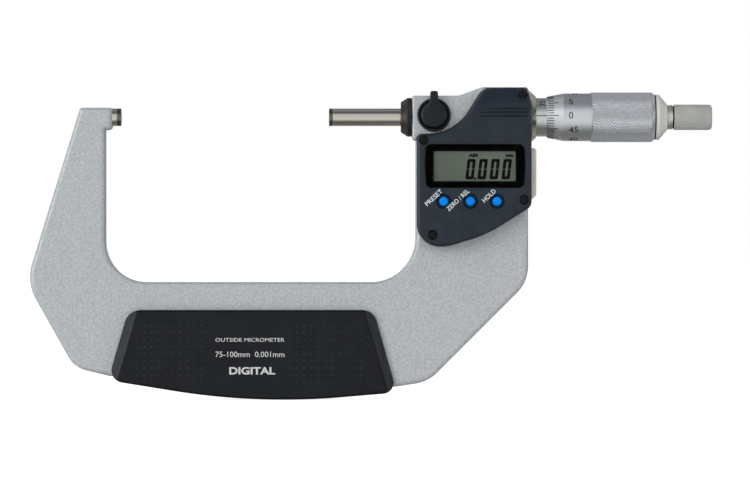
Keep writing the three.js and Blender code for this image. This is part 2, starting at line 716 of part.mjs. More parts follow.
function ratchetKnob() {
  const roomR = 3.4; // chamber for the click plates and the spring
  const recessR = 3; // room for the screw's head
  const [floor, webEnd] = [206.6, 208.4];
  return turned([
    [KNOB_START, roomR], [KNOB_START, 4.4], [KNOB_START + 0.3, KNOB_R],
    [KNOB_END - 1.5, KNOB_R], [KNOB_END - 0.4, 4.35], [KNOB_END, 4], [KNOB_END, recessR],
    [webEnd, recessR], [webEnd, CLICK.bore], [floor, CLICK.bore], [floor, roomR],
    [KNOB_START, roomR],
  ]);
}

function ratchetScrew() {
  const { start, shankR, shoulder, headR, end } = STOP_SCREW;
  const body = turned([
    [start, 0], [start, shankR], [shoulder, shankR], [shoulder, headR], [end, headR], [end, 0],
  ], SHAFT);
  return body.subtract(box([end - 0.6, end + PAST], [-3, 3], [-0.35, 0.35]));
}

class Helix extends THREE.Curve {
  constructor(start, length, radius, turns) {
    super();
    Object.assign(this, { start, length, radius, turns });
  }

  getPoint(t, target = new THREE.Vector3()) {
    const angle = 2 * Math.PI * this.turns * t;
    const y = this.radius * Math.cos(angle);
    const z = this.radius * Math.sin(angle);
    return target.set(this.start + this.length * t, y, z);
  }
}

function ratchetSpring() {
  const { start, length, r, turns, wireR, steps } = SPRING;
  const wire = new THREE.Shape().absarc(0, 0, wireR, 0, 2 * Math.PI);
  const geometry = new THREE.ExtrudeGeometry(wire, {
    curveSegments: 5,
    steps,
    bevelEnabled: false,
    extrudePath: new Helix(start, length, r, turns),
  });
  return toSolid(geometry);
}

addPart("end_cap", endCap(), greyPlastic);
addPart("ratchet_hub", ratchetHub(), steel);
addPart("ratchet_screw", ratchetScrew(), steel);
addPart("click_plate_fixed", clickPlate(...CLICK.fixed, CLICK.fixed[1]), steel);
addPart("click_plate_sprung", clickPlate(...CLICK.sprung, CLICK.sprung[0]), steel);
addPart("ratchet_spring", ratchetSpring(), steel);
addPart("ratchet_knob", ratchetKnob(), greyPlastic);

// ---------- grip plates ----------

// One half of the heat-insulating grip: a plate on the bow's face with a lip under the bow.
function gripFront() {
  const outline = rounded(GRIP_CORNERS);
  const roomForBow = plate(inset(frameOutline, -0.3), -BOW_HALF - 0.1, BOW_HALF);
  return plate(outline, -GRIP_HALF, -0.1, GRIP_BEVEL).subtract(roomForBow);
}

// Slotted screw from the rear plate through the bow into the front plate.
function gripScrew(x) {
  const { z, shankR, headR } = GRIP_SCREW;
  const [shoulder, face] = [GRIP_SCREW.seat + 0.1, GRIP_HALF - 0.3];
  const body = turnedAcross(x, z, [
    [-6.6, 0], [-6.6, shankR], [shoulder, shankR], [shoulder, headR], [face, headR], [face, 0],
  ]);
  return body.subtract(box([x - 2, x + 2], [face - 0.6, face + PAST], [z - 0.3, z + 0.3]));
}

const screwHoles = GRIP_SCREW.x.map((x) => pin(x, GRIP_SCREW.z, -6.8, 10, GRIP_SCREW.holeR));
const screwSeats = GRIP_SCREW.x.map((x) =>
  pin(x, GRIP_SCREW.z, GRIP_SCREW.seat, 10, GRIP_SCREW.seatR),
);
addPart("grip_front", cutAll(gripFront(), screwHoles), gripPlastic);
addPart(
  "grip_rear",
  cutAll(gripFront().mirror([0, 1, 0]), [...screwHoles, ...screwSeats]),
  gripPlastic,
);
addPart("grip_screw_left", gripScrew(GRIP_SCREW.x[0]), blackened);
addPart("grip_screw_right", gripScrew(GRIP_SCREW.x[1]), blackened);

export default model;
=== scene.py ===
"""Looks of a digital outside micrometer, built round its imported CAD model.

Shapes are worked out in millimetres in the CAD model's own frame: +X along the spindle, +Z up,
-Y out of the display. They are scaled to metres where a mesh is made.
"""
import json
from math import acos, atan2, ceil, cos, pi, radians, sin, sqrt, tan

import bmesh
import bpy
from mathutils import Matrix, Vector


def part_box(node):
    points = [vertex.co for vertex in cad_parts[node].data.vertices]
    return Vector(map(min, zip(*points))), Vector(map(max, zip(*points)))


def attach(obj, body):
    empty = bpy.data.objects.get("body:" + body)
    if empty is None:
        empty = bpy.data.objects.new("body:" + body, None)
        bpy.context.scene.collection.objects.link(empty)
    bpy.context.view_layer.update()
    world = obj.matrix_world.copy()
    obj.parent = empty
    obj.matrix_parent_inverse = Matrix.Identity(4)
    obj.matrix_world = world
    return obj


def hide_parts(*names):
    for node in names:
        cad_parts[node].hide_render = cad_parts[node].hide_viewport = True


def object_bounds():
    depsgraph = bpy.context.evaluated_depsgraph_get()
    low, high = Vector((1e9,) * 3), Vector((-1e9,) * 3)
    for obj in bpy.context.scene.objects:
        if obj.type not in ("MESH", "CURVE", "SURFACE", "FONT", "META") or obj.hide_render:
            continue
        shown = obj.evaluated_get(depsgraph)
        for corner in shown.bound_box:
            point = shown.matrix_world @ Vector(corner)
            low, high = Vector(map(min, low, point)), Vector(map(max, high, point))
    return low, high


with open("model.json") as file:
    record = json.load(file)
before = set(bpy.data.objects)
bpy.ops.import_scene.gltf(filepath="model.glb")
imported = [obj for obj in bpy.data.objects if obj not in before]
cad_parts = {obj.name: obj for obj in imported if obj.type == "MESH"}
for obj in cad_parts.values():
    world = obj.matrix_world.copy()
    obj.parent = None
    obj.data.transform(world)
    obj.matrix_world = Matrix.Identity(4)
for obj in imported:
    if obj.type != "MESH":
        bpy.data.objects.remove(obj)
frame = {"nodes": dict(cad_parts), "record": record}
cad_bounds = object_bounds()

MM = 0.001


# ---------- sizes taken from the CAD model ----------


def extent(node):
    """(lowest, highest) corner of a CAD node, in millimetres."""
    low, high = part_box(node)
    return low / MM, high / MM


def centre_of(node):
    low, high = extent(node)
    return (low + high) / 2


def radius_of(node):
    low, high = extent(node)
    return (high.z - low.z) / 2


SPINDLE_R = radius_of("spindle_tip")
SLEEVE_R = radius_of("sleeve")
THIMBLE_R = radius_of("thimble")
THIMBLE_EDGE = extent("thimble")[0].x
THIMBLE_END = extent("thimble")[1].x
SLEEVE_END = extent("sleeve")[1].x
COVER_FRONT = extent("front_cover")[0].y
COVER_RIM = extent("front_cover")[1].y
GRIP_HALF = -extent("grip_front")[0].y
TRAVEL = 25

BOW_HALF = 4.75
HEAD_FRONT = -7
HEAD_BACK = 7.5
SEAT_Y = -5
BLOCK_BACK = 8
HEAD_LEFT = 105
DRUM_R = 10.9
BOSS_END = extent("frame")[1].x

# Corners as (x, z, fillet radius), following the CAD source.
HEAD_TOP = [
    (HEAD_LEFT, 7.6, 0.8), (121.9, 7.6, 4), (127.9, 9.9, 3), (130.5, 10.65, 1), (146.7, 10.65, 1.2),
]
HEAD_CORNERS = [(HEAD_LEFT, -8.4, 1.2), *HEAD_TOP, (146.7, -8.4, 0)]
FRAME_CORNERS = [
    (-14.7, 3.35, 1), (-3.2, 3.35, 0.8), (-3.2, -4.5, 1.3), (-5.6, -4.6, 0), (-5.6, -59.5, 14.5),
    (106.2, -59.5, 16), (106.2, -8.4, 0), (HEAD_LEFT, -7.2, 0), *HEAD_TOP, (146.8, -59.4, 13),
    (110.8, -95.4, 14), (99.2, -97.2, 0), (50, -99.2, 400), (-4.5, -93.3, 0), (-16.8, -90.3, 10),
    (-34.09, -59.6, 16),
]
COVER_CORNERS = [
    (106.6, -6.45, 2), (120.3, -6.45, 18), (130.8, 10.5, 6), (146.1, 10.5, 1.6), (147.7, 3.9, 3),
    (147.7, -32.4, 3.5), (131.5, -42.5, 45), (117.8, -46.7, 16), (106.6, -46.85, 8.2),
]
WINDOW_CORNERS = [
    (109.8, -10.05, 2), (144.9, -10.05, 2), (145.5, -16.3, 40), (144.9, -25.65, 2),
    (109.9, -25.65, 2), (109.2, -16.3, 40),
]
GRIP_TOP = [(2.9, -69.5, 6), (91.1, -69.5, 5.5)]
GRIP_BOTTOM = [(-4.4, -94.8, 4.5), (99.5, -99.2, 4)]
GRIP_CORNERS = [*GRIP_TOP, GRIP_BOTTOM[1], (49.2, -103.44, 250), GRIP_BOTTOM[0]]
SQUARE = ((-1, -1), (1, -1), (1, 1), (-1, 1))
BUTTONS = ["button_left", "button_middle", "button_right"]
COVER_SCREWS = [f"cover_screw_{place}" for place in ("top_right", "top_left", "low_right", "low_left")]
GRIP_SCREWS = ["grip_screw_left", "grip_screw_right"]

# ---------- outlines ----------


def signed_area(corners):
    pairs = zip(corners, corners[1:] + corners[:1])
    return sum(p[0] * q[1] - q[0] * p[1] for p, q in pairs) / 2


def rounded(corners, sunk=0.0, arc_step=radians(7)):
    """Closed outline through (a, b, radius) corners, moved inwards by a distance."""
    turns_left = signed_area(corners) > 0
    outline = []
    for i, (a, b, radius) in enumerate(corners):
        corner = Vector((a, b))
        before = (Vector(corners[i - 1][:2]) - corner).normalized()
        after = (Vector(corners[(i + 1) % len(corners)][:2]) - corner).normalized()
        half = acos(before.dot(after)) / 2
        middle = (before + after).normalized()
        convex = (after.x * before.y - after.y * before.x > 0) == turns_left
        shift = sunk if convex else -sunk
        if radius == 0:
            outline.append(corner + middle * shift / sin(half))
            continue
        reach = max(radius, shift)
        centre = corner + middle * reach / sin(half)
        start = (corner + before * reach / tan(half) - centre).normalized()
        end = (corner + after * reach / tan(half) - centre).normalized()
        turn = atan2(start.x * end.y - start.y * end.x, start.dot(end))
        steps = max(2, ceil(abs(turn) / min(arc_step, 1.2 / radius)))
        for k in range(steps + 1):
            outline.append(centre + start @ Matrix.Rotation(-turn * k / steps, 2) * (reach - shift))
    return outline


# ---------- meshes ----------


def linked(name, data):
    """A new object in the scene, showing the data."""
    obj = bpy.data.objects.new(name, data)
    bpy.context.scene.collection.objects.link(obj)
    return obj


def evaluated_mesh(obj):
    """The object's mesh with its modifiers or its lettering worked out."""
    graph = bpy.context.evaluated_depsgraph_get()
    return bpy.data.meshes.new_from_object(obj.evaluated_get(graph))


def make_object(name, vertices, faces):
    """A mesh object from points in millimetres, with doubled points merged and faces outwards."""
    mesh = bpy.data.meshes.new(name)
    mesh.from_pydata([Vector(v) * MM for v in vertices], [], faces)
    tidy = bmesh.new()
    tidy.from_mesh(mesh)
    bmesh.ops.remove_doubles(tidy, verts=tidy.verts, dist=1e-7)
    bmesh.ops.dissolve_degenerate(tidy, edges=tidy.edges, dist=1e-7)
    bmesh.ops.recalc_face_normals(tidy, faces=tidy.faces)
    tidy.to_mesh(mesh)
    tidy.free()
    return linked(name, mesh)


def stacked_faces(count, rows, start=0):
    """Faces of a closed form whose points lie in rows: its two ends and the bands between rows."""
    last = start + count * (rows - 1)
    faces = [tuple(range(start, start + count)), tuple(range(last, last + count))]
    for row in range(start, last, count):
        for i in range(count):
            a, b = row + i, row + (i + 1) % count
            faces.append((a, b, b + count, a + count))
    return faces


def plate(name, corners, y_front, y_back, front_edge=0.0, back_edge=0.0, sunk=0.0, segments=5):
    """Flat part: XZ corners given depth, moved in by sunk, with rounded front and back edges."""
    layers = []
    for k in range(segments + 1 if front_edge else 1):
        angle = pi / 2 * k / segments
        layers.append((front_edge * (1 - sin(angle)), y_front + front_edge * (1 - cos(angle))))
    for k in range(segments + 1 if back_edge else 1):
        angle = pi / 2 * k / segments
        layers.append((back_edge * (1 - cos(angle)), y_back - back_edge * (1 - sin(angle))))
    vertices = []
    for inwards, y in layers:
        vertices += [(p.x, y, p.y) for p in rounded(corners, sunk + inwards)]
    return make_object(name, vertices, stacked_faces(len(vertices) // len(layers), len(layers)))


def lathe(name, profile, sides, place, radial=None):
    """Revolves (along, radius) or (along, radius, fillet) points, which start and end on the axis or
    close a ring. The function place turns (along, radius, angle) into a point, and radial, if there
    is one, gives the radius at (along, angle, radius)."""
    if any(len(point) > 2 for point in profile):
        profile = soft_profile(profile)
    on_axis = profile[0][1] == 0 and profile[-1][1] == 0
    vertices = []
    for i in range(sides):
        angle = 2 * pi * i / sides
        for along, radius in profile:
            if radial:
                radius = radial(along, angle, radius)
            vertices.append(place(along, radius, angle))
    rows = len(profile)
    faces = []
    for i in range(sides):
        here, there = i * rows, (i + 1) % sides * rows
        for k in range(rows - 1 if on_axis else rows):
            m = (k + 1) % rows
            faces.append((here + k, here + m, there + m, there + k))
    return make_object(name, vertices, faces)


def turned(name, profile, sides=96, centre=(0, 0, 0), radial=None):
    """Turned part on an axis along X."""

    def place(along, radius, angle):
        y = centre[1] - radius * cos(angle)
        return (centre[0] + along, y, centre[2] + radius * sin(angle))

    return lathe(name, profile, sides, place, radial)


def turned_across(name, centre, profile, sides=48):
    """Turned part on an axis along Y through a centre."""

    def place(along, radius, angle):
        return (centre.x + radius * sin(angle), along, centre.z + radius * cos(angle))

    return lathe(name, profile, sides, place)


def soft_profile(points, arc_step=radians(22.5)):
    """A lathe profile with (along, radius, fillet) corners rounded."""
    corners = [(p[0], p[1], p[2] if len(p) > 2 else 0) for p in points]
    return [(v.x, max(v.y, 0.0)) for v in rounded(corners, 0.0, arc_step)]


def rod(name, x0, x1, radius, sides=64, centre=(0, 0, 0)):
    return turned(name, [(x0, 0), (x0, radius), (x1, radius), (x1, 0)], sides, centre)


def pin(name, centre, y0, y1, radius, sides=32):
    return turned_across(name, centre, [(y0, 0), (y0, radius), (y1, radius), (y1, 0)], sides)


def rectangle(x0, x1, z0, z1, radius=0):
    """Corners of a rectangle with equal fillets."""
    return [(x0, z1, radius), (x1, z1, radius), (x1, z0, radius), (x0, z0, radius)]


def block(name, low, high):
    return plate(name, rectangle(low[0], high[0], low[2], high[2]), low[1], high[1])


def combine(target, tools, operation):
    for tool in tools:
        modifier = target.modifiers.new(operation, "BOOLEAN")
        modifier.operation = operation
        modifier.solver = "MANIFOLD"
        modifier.object = tool
    target.data = evaluated_mesh(target)
    target.modifiers.clear()
    for tool in tools:
        bpy.data.objects.remove(tool)
    return target


def join(target, *tools):
    return combine(target, tools, "UNION")


def cut(target, *tools):
    return combine(target, tools, "DIFFERENCE")


def slice_at(obj, axis, levels):
    """Cuts the mesh's faces along planes square to an axis, so that it can be bent there."""
    normal = Vector((0, 0, 0))
    normal[axis] = 1
    shape = bmesh.new()
    shape.from_mesh(obj.data)
    for level in levels:
        everything = shape.verts[:] + shape.edges[:] + shape.faces[:]
        place = normal * level * MM
        bmesh.ops.bisect_plane(shape, geom=everything, plane_co=place, plane_no=normal, dist=1e-7)
    shape.to_mesh(obj.data)
    shape.free()


def bend(obj, move):
    """Moves each vertex by a function of its place in millimetres."""
    for vertex in obj.data.vertices:
        vertex.co += Vector(move(vertex.co / MM)) * MM
    obj.data.update()


def smooth(obj, angle):
    """Smooth shading with the edges sharper than the angle kept crisp."""
    mesh = obj.data
    mesh.polygons.foreach_set("use_smooth", [True] * len(mesh.polygons))
    mesh.set_sharp_from_angle(angle=radians(angle))
    weighted = obj.modifiers.new("weighted_normals", "WEIGHTED_NORMAL")
    weighted.keep_sharp = True


def place_piece(obj, slot, *stands_for, body="frame_unit", material=None, angle=32):
    """Finishes a piece: shading, material, the body it rides on and the CAD nodes it shows."""
    smooth(obj, angle)
    obj.data.materials.clear()
    obj.data.materials.append(material or SLOT_MATERIALS[slot])
    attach(obj, body)
    if stands_for:
        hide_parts(*stands_for)


# ---------- lettering ----------


def fitted(values, length):
    """Numbers scaled to span a length, with zero in the middle."""
    low, high = min(values), max(values)
    return [(value - (high + low) / 2) * (length / (high - low)) for value in values]


def letter_mesh(text, width, height, weight=0.0, shear=0.0):
    """Flat mesh of generic lettering fitted to a width and height, centred on the origin."""
    curve = bpy.data.curves.new("lettering", "FONT")
    curve.body = text
    curve.offset = weight
    curve.shear = shear
    curve.resolution_u = 3
    obj = linked("lettering", curve)
    mesh = evaluated_mesh(obj)
    bpy.data.objects.remove(obj)
    across = fitted([v.co.x for v in mesh.vertices], width)
    up = fitted([v.co.y for v in mesh.vertices], height)
    return list(zip(across, up)), [tuple(p.vertices) for p in mesh.polygons]


def ink_from(name, sheets):
    """One thin ink piece from (front points, back points, faces) sheets."""
    vertices, faces = [], []
    for front, back, polygons in sheets:
        start, depth = len(vertices), len(front)
        vertices += front + back
        edges = {}
        for polygon in polygons:
            faces.append(tuple(start + i for i in polygon))
            faces.append(tuple(start + depth + i for i in reversed(polygon)))
            for a, b in zip(polygon, polygon[1:] + polygon[:1]):
                if (b, a) in edges:
                    del edges[(b, a)]
                else:
                    edges[(a, b)] = True
        for a, b in edges:
            faces.append((start + b, start + a, start + depth + a, start + depth + b))
    return make_object(name, vertices, faces)


INK = 0.03


def flat_text(text, width, height, place, turn=0.0, back=False, **style):
    """Sheet of lettering centred on a place, facing -Y, or +Y if back is set."""
    points, faces = letter_mesh(text, width, height, **style)
    spin = Matrix.Rotation(turn, 2)
    flip = -1 if back else 1
    x, y, z = place
    front, behind = [], []
    for point in points:
        u, v = spin @ Vector(point)
        front.append((x + flip * u, y, z + v))
        behind.append((x + flip * u, y + flip * INK, z + v))
    return front, behind, faces


def on_drum(radius, x, angle):
    """Point on a drum about the spindle; the angle is measured up from the front."""
    return (x, -radius * cos(angle), radius * sin(angle))


def wrapped(radius_at, x, angle, points, faces, turn=0.0):
    """Sheet of flat points wrapped on a surface of revolution round (x, angle)."""
    spin = Matrix.Rotation(turn, 2)
    outer, inner = [], []
    for point in points:
        u, v = spin @ Vector(point)
        bow = angle + v / radius_at(x)
        outer.append(on_drum(radius_at(x + u) + INK, x + u, bow))
        inner.append(on_drum(radius_at(x + u) - INK, x + u, bow))
    return outer, inner, faces


def drum_line(radius_at, x0, x1, angle, width):
    """Engraved line along the spindle."""
    half, length = width / 2, x1 - x0
    points = [(0, -half), (length, -half), (length, half), (0, half)]
    return wrapped(radius_at, x0, angle, points, [(0, 1, 2, 3)])


# ---------- materials ----------


def srgb(*channels):
    """Linear colour from 0-255 display values."""
    linear = [(c / 255 / 12.92) if c <= 10 else ((c / 255 + 0.055) / 1.055) ** 2.4 for c in channels]
    return (*linear, 1.0)


def add_node(tree, kind, *inputs, **settings):
    """Adds a shader node and feeds its inputs, in order or by name. In a setting's name _ stands for
    a space, and a name in small letters is a property of the node."""
    node = tree.nodes.new("ShaderNode" + kind)
    fed = list(zip(node.inputs, inputs))
    for name, value in settings.items():
        if name.islower():
            setattr(node, name, value)
        else:
            fed.append((node.inputs[name.replace("_", " ")], value))
    for socket, value in fed:
        if isinstance(value, bpy.types.NodeSocket):
            tree.links.new(value, socket)
        else:
            socket.default_value = value
    return node


class Finish:
    """A Principled material with procedural detail in object space, where 1 unit is a metre."""

    def __init__(self, name, colour, roughness, metallic=0.0, specular=0.5):
        self.material = bpy.data.materials.new(name)
        self.material.use_nodes = True
        self.tree = self.material.node_tree
        self.inputs = self.tree.nodes["Principled BSDF"].inputs
        self.inputs["Base Color"].default_value = colour
        self.inputs["Roughness"].default_value = roughness
        self.inputs["Metallic"].default_value = metallic
        self.inputs["Specular IOR Level"].default_value = specular
        self.place = add_node(self.tree, "TexCoord").outputs["Object"]

    def stretched(self, stretch):
        return add_node(self.tree, "Mapping", Vector=self.place, Scale=stretch).outputs["Vector"]

    def noise(self, scale, detail=3.0, stretch=(1, 1, 1)):
        place = self.stretched(stretch)
        return add_node(self.tree, "TexNoise", Vector=place, Scale=scale, Detail=detail).outputs["Fac"]

    def cells(self, scale):
        cells = add_node(self.tree, "TexVoronoi", feature="SMOOTH_F1", Scale=scale, Smoothness=1.0)
        self.tree.links.new(self.stretched((1, 1, 1)), cells.inputs["Vector"])
        return cells.outputs["Distance"]

    def remap(self, value, low, high, from_low=0.35, from_high=0.65):
        return add_node(self.tree, "MapRange", value, from_low, from_high, low, high).outputs["Result"]

    def colour_between(self, value, first, second, from_low=0.35, from_high=0.65):
        ramp = add_node(self.tree, "ValToRGB", value)
        stops = ramp.color_ramp.elements
        stops[0].position, stops[1].position = from_low, from_high
        stops[0].color, stops[1].color = first, second
        self.tree.links.new(ramp.outputs["Color"], self.inputs["Base Color"])

    def roughness_between(self, value, low, high):
        self.tree.links.new(self.remap(value, low, high), self.inputs["Roughness"])

    def bump(self, value, distance, strength):
        """Adds a bump of the given height in metres on top of the bumps already there."""
        bump = add_node(self.tree, "Bump", Height=value, Distance=distance, Strength=strength)
        normal = self.inputs["Normal"]
        if normal.links:
            self.tree.links.new(normal.links[0].from_socket, bump.inputs["Normal"])
        self.tree.links.new(bump.outputs["Normal"], normal)

    def grained(self, polish, low, high, grain, height, strength=0.5):
        """The material with its roughness led by one noise and a bump by another."""
        self.roughness_between(self.noise(*polish), low, high)
        self.bump(self.noise(*grain), height, strength)
        return self.material


def hammered_paint():
    finish = Finish("hammered_paint", srgb(172, 177, 180), 0.45, 0.1)
    finish.colour_between(finish.noise(1300, 3), srgb(162, 167, 171), srgb(183, 187, 190), 0.38, 0.62)
    finish.roughness_between(finish.noise(500), 0.42, 0.56)
    finish.bump(finish.cells(900), 0.00008, 0.4)
    finish.bump(finish.noise(2600, 2), 0.00003, 0.35)
    return finish.material


def turned_metal(name, colour, roughness, low, high, rings, metallic=1.0, height=0.000004, strength=0.5):
    """Metal with fine rings round the spindle's axis; rings is its (scale, detail, stretch) noise."""
    finish = Finish(name, colour, roughness, metallic)
    marks = finish.noise(*rings)
    finish.roughness_between(marks, low, high)
    finish.bump(marks, height, strength)
    return finish.material


def lapped_carbide():
    finish = Finish("lapped_carbide", srgb(112, 110, 106), 0.28, 1.0)
    return finish.grained((900, 3), 0.22, 0.36, (4000, 2), 0.000003)


def thimble_chrome():
    finish = Finish("thimble_chrome", srgb(217, 220, 224), 0.38, 0.95)
    return finish.grained((1500, 3), 0.34, 0.44, (5000, 2), 0.000006)


def knurled_chrome():
    """Painted shade: the thimble's chrome made darker for the knurl, to tone down its glints."""
    finish = Finish("knurled_chrome", srgb(183, 187, 192), 0.38, 0.95)
    finish.colour_between(finish.noise(700, 3), srgb(177, 181, 186), srgb(189, 193, 198))
    return finish.grained((1500, 3), 0.34, 0.42, (5000, 2), 0.000006)


def moulded_plastic(name, colour, lighter, roughness, specular=0.3, grain=3000, height=0.00002):
    finish = Finish(name, colour, roughness, 0.0, specular)
    finish.colour_between(finish.noise(160, 3), colour, lighter)
    return finish.grained((700, 3), roughness - 0.05, roughness + 0.07, (grain, 2), height)


def black_oxide():
    finish = Finish("black_oxide", srgb(43, 40, 37), 0.4, 0.15, 0.2)
    finish.colour_between(finish.noise(350, 4), srgb(33, 31, 28), srgb(56, 52, 48))
    return finish.grained((900, 3, (12, 1, 1)), 0.34, 0.48, (500, 3, (25, 1, 1)), 0.00001)


def black_screw():
    finish = Finish("black_screw", srgb(10, 10, 9), 0.34, 0.0, 0.2)
    finish.colour_between(finish.noise(900, 3), srgb(5, 5, 5), srgb(21, 19, 17))
    return finish.grained((1200, 3), 0.3, 0.44, (2500, 2), 0.00001)


def gloss_black():
    finish = Finish("gloss_black", srgb(2, 3, 2), 0.08, 0.0, 0.15)
    return finish.grained((400, 3), 0.05, 0.12, (120, 2), 0.00001, 0.15)


def clear_window():
    finish = Finish("clear_window", srgb(40, 44, 42), 0.05, 0.0, 0.3)
    finish.inputs["Alpha"].default_value = 0.06
    return finish.grained((300, 3), 0.03, 0.08, (60, 2), 0.000005, 0.1)


def display_glass():
    finish = Finish("display_glass", srgb(95, 106, 94), 0.35, 0.0, 0.2)
    finish.colour_between(finish.noise(45, 2), srgb(86, 97, 85), srgb(104, 113, 101), 0.3, 0.7)
    return finish.grained((800, 2), 0.28, 0.42, (6000, 2), 0.000003)


def ink(name, colour, roughness=0.5, specular=0.2):
    finish = Finish(name, colour, roughness, 0.0, specular)
    return finish.grained((1500, 2), roughness - 0.06, roughness + 0.08, (7000, 2), 0.000004, 0.4)


def circuit_board():
    finish = Finish("circuit_board", srgb(28, 92, 52), 0.35)
    finish.colour_between(finish.cells(600), srgb(20, 74, 42), srgb(40, 112, 66), 0.2, 0.8)
    finish.roughness_between(finish.noise(600), 0.28, 0.42)
    finish.bump(finish.cells(500), 0.00003, 0.4)
    return finish.material


def rolled_brass():
    finish = Finish("rolled_brass", srgb(201, 168, 96), 0.3, 1.0)
    return finish.grained((500, 3, (1, 1, 12)), 0.24, 0.4, (900, 3, (1, 1, 12)), 0.000005)


SLOT_MATERIALS = {
    "paint": hammered_paint(),
    "steel": turned_metal("ground_steel", srgb(210, 204, 194), 0.24, 0.2, 0.32, (260, 4, (30, 1, 1))),
    "satin_chrome": turned_metal(
        "satin_chrome", srgb(218, 219, 217), 0.36, 0.32, 0.42, (300, 4, (25, 1, 1)), 0.97, 0.000005, 0.6
    ),
    "carbide": lapped_carbide(),
    "blackened": black_oxide(),
    "cover_plastic": moulded_plastic("cover_plastic", srgb(27, 36, 46), srgb(33, 42, 52), 0.42, 0.26),
    "clamp_plastic": moulded_plastic("clamp_plastic", srgb(16, 20, 24), srgb(22, 26, 30), 0.42, 0.24),
    "grip_plastic": moulded_plastic("grip_plastic", srgb(11, 14, 19), srgb(16, 19, 25), 0.4, 0.22),
    "window_black": gloss_black(),
    "window_clear": clear_window(),
    "lcd": display_glass(),
    "blue_plastic": moulded_plastic("blue_plastic", srgb(0, 122, 218), srgb(0, 132, 232), 0.42, 0.06),
    "grey_plastic": moulded_plastic("grey_plastic", srgb(158, 160, 155), srgb(168, 170, 165), 0.42),
    "rubber": moulded_plastic(
        "black_rubber", srgb(20, 20, 21), srgb(28, 28, 29), 0.75, grain=2000, height=0.00004
    ),
    "brass": rolled_brass(),
    "circuit_board": circuit_board(),
}
# Finishes that differ from what the piece's slot has.
drum_chrome = thimble_chrome()
# Painted shade: a darker copy of the thimble's chrome, put on the knurl to tone down its glints.
knurl_painted_shade = knurled_chrome()
plated = turned_metal("bright_chrome", srgb(160, 161, 147), 0.24, 0.2, 0.3, (240, 3, (20, 1, 1)))
screw_black = black_screw()
# Painted highlight: a lighter copy of the grip plastic for the dots, standing in for the light on their
# domes.
dot_highlight_plastic = moulded_plastic("grip_dots_painted_highlight", srgb(24, 26, 29), srgb(31, 33, 36), 0.5, 0.2)
pale_plastic = moulded_plastic("pale_plastic", srgb(201, 202, 196), srgb(209, 210, 204), 0.42)
# Dark navy rubber ring in each button's well: partly the seal's own colour, partly painted shade of the
# recess.
well_seal_and_shade = moulded_plastic("well_seal_and_shade", srgb(8, 20, 34), srgb(11, 26, 42), 0.6, 0.15)
lcd_ink = ink("lcd_ink", srgb(5, 11, 14), 0.7, 0.05)
black_ink = ink("black_ink", srgb(9, 10, 14), 0.6, 0.1)
white_ink = ink("white_ink", srgb(226, 229, 232))
pale_ink = ink("pale_ink", srgb(198, 200, 200))


def paint_cad_nodes():
    """Every CAD node gets its slot's material; most inner pieces stay as the CAD model has them."""
    for row in frame["record"]["subparts"]:
        node = frame["nodes"][row["node"]]
        node.data.materials.clear()
        node.data.materials.append(SLOT_MATERIALS[row["material_slot"]])


# ---------- frame ----------

BOW_EDGE = 1.8
HEAD_EDGE = 0.9


def frame_cuts():
    clamp = centre_of("clamp_stem")
    lid = centre_of("battery_lid")
    port = centre_of("port_socket")
    cuts = [
        rod("anvil_bore", -13.3, 0, SPINDLE_R + 0.05),
        rod("spindle_bore", 100, 132, SPINDLE_R + 0.06),
        rod("encoder_chamber", 131, 143.6, 9.6),
        rod("sleeve_bore", 142.6, BOSS_END + 1, SLEEVE_R + 0.05),
        pin("clamp_bore", clamp, HEAD_FRONT - 1, -2, 2.1),
        pin("battery_pocket", lid, 0, BLOCK_BACK + 1, 6.1),
        pin("lid_thread", lid, 5.9, BLOCK_BACK + 1, 7.2),
        pin("lid_recess", lid, 7, BLOCK_BACK + 1, 8.8, 64),
        block("port_recess", (141.9, port.y - 3, -25.5), (148, port.y + 3, -15.2)),
    ]
    cuts += [pin(name + "_hole", centre_of(name), SEAT_Y - 1, -2.3, 1) for name in COVER_SCREWS]
    cuts += [pin(name + "_hole", centre_of(name), -6, 6, 1.4) for name in GRIP_SCREWS]
    return cuts


def cover_room():
    return plate("cover_room", COVER_CORNERS, COVER_FRONT - 1, SEAT_Y, sunk=-0.35)


def frame_body():
    core_r = DRUM_R - 0.03
    drum = [
        (129.5, 0), (129.5, 9.8, 0.3), (130.8, core_r, 0.8), (146.2, core_r), (BOSS_END - 0.3, 7.2),
        (BOSS_END - 0.3, 0),
    ]
    boss = [(143.6, 0), (143.6, 8.6), (148.2, 8.6, 0.8), (BOSS_END, 7.5, 0.5), (BOSS_END, 0)]
    body = plate("frame_body", FRAME_CORNERS, -BOW_HALF, BOW_HALF, BOW_EDGE, BOW_EDGE)
    head = plate("head", HEAD_CORNERS, HEAD_FRONT, HEAD_BACK, HEAD_EDGE, HEAD_EDGE)
    seat = plate("seat", COVER_CORNERS, SEAT_Y, BLOCK_BACK, 0, HEAD_EDGE, sunk=0.8)
    core = turned("drum", drum)
    join(body, head, seat, core, rod("spigot", 103.3, 106, 4.8))
    cut(body, cover_room())
    join(body, turned("sleeve_boss", boss))
    cut(body, *frame_cuts())
    place_piece(body, "paint", "frame")


def sleeve_collar():
    """Plated cone between the display unit and the sleeve."""
    bore = SLEEVE_R + 0.05
    profile = [
        (145.2, 10.2), (145.2, DRUM_R), (145.8, DRUM_R, 0.8), (BOSS_END, 7.52, 0.4), (BOSS_END, bore),
        (148.4, bore), (148.4, 8.0),
    ]
    collar = cut(turned("sleeve_collar", profile), cover_room())
    place_piece(collar, "satin_chrome", material=plated)


# ---------- measuring faces, nose and clamp ----------

THREAD_START = 143
THREAD_END = 185
THREAD_PITCH = 0.5
THREAD_DEPTH = 0.25


def face_rod(name, node, slot, edge, body="frame_unit"):
    """Cylinder on the spindle's axis in place of a CAD node, with its edges broken."""
    low, high = extent(node)
    profile = [(low.x, 0), (low.x, SPINDLE_R, edge), (high.x, SPINDLE_R, edge), (high.x, 0)]
    place_piece(turned(name, profile, 80), slot, node, body=body)


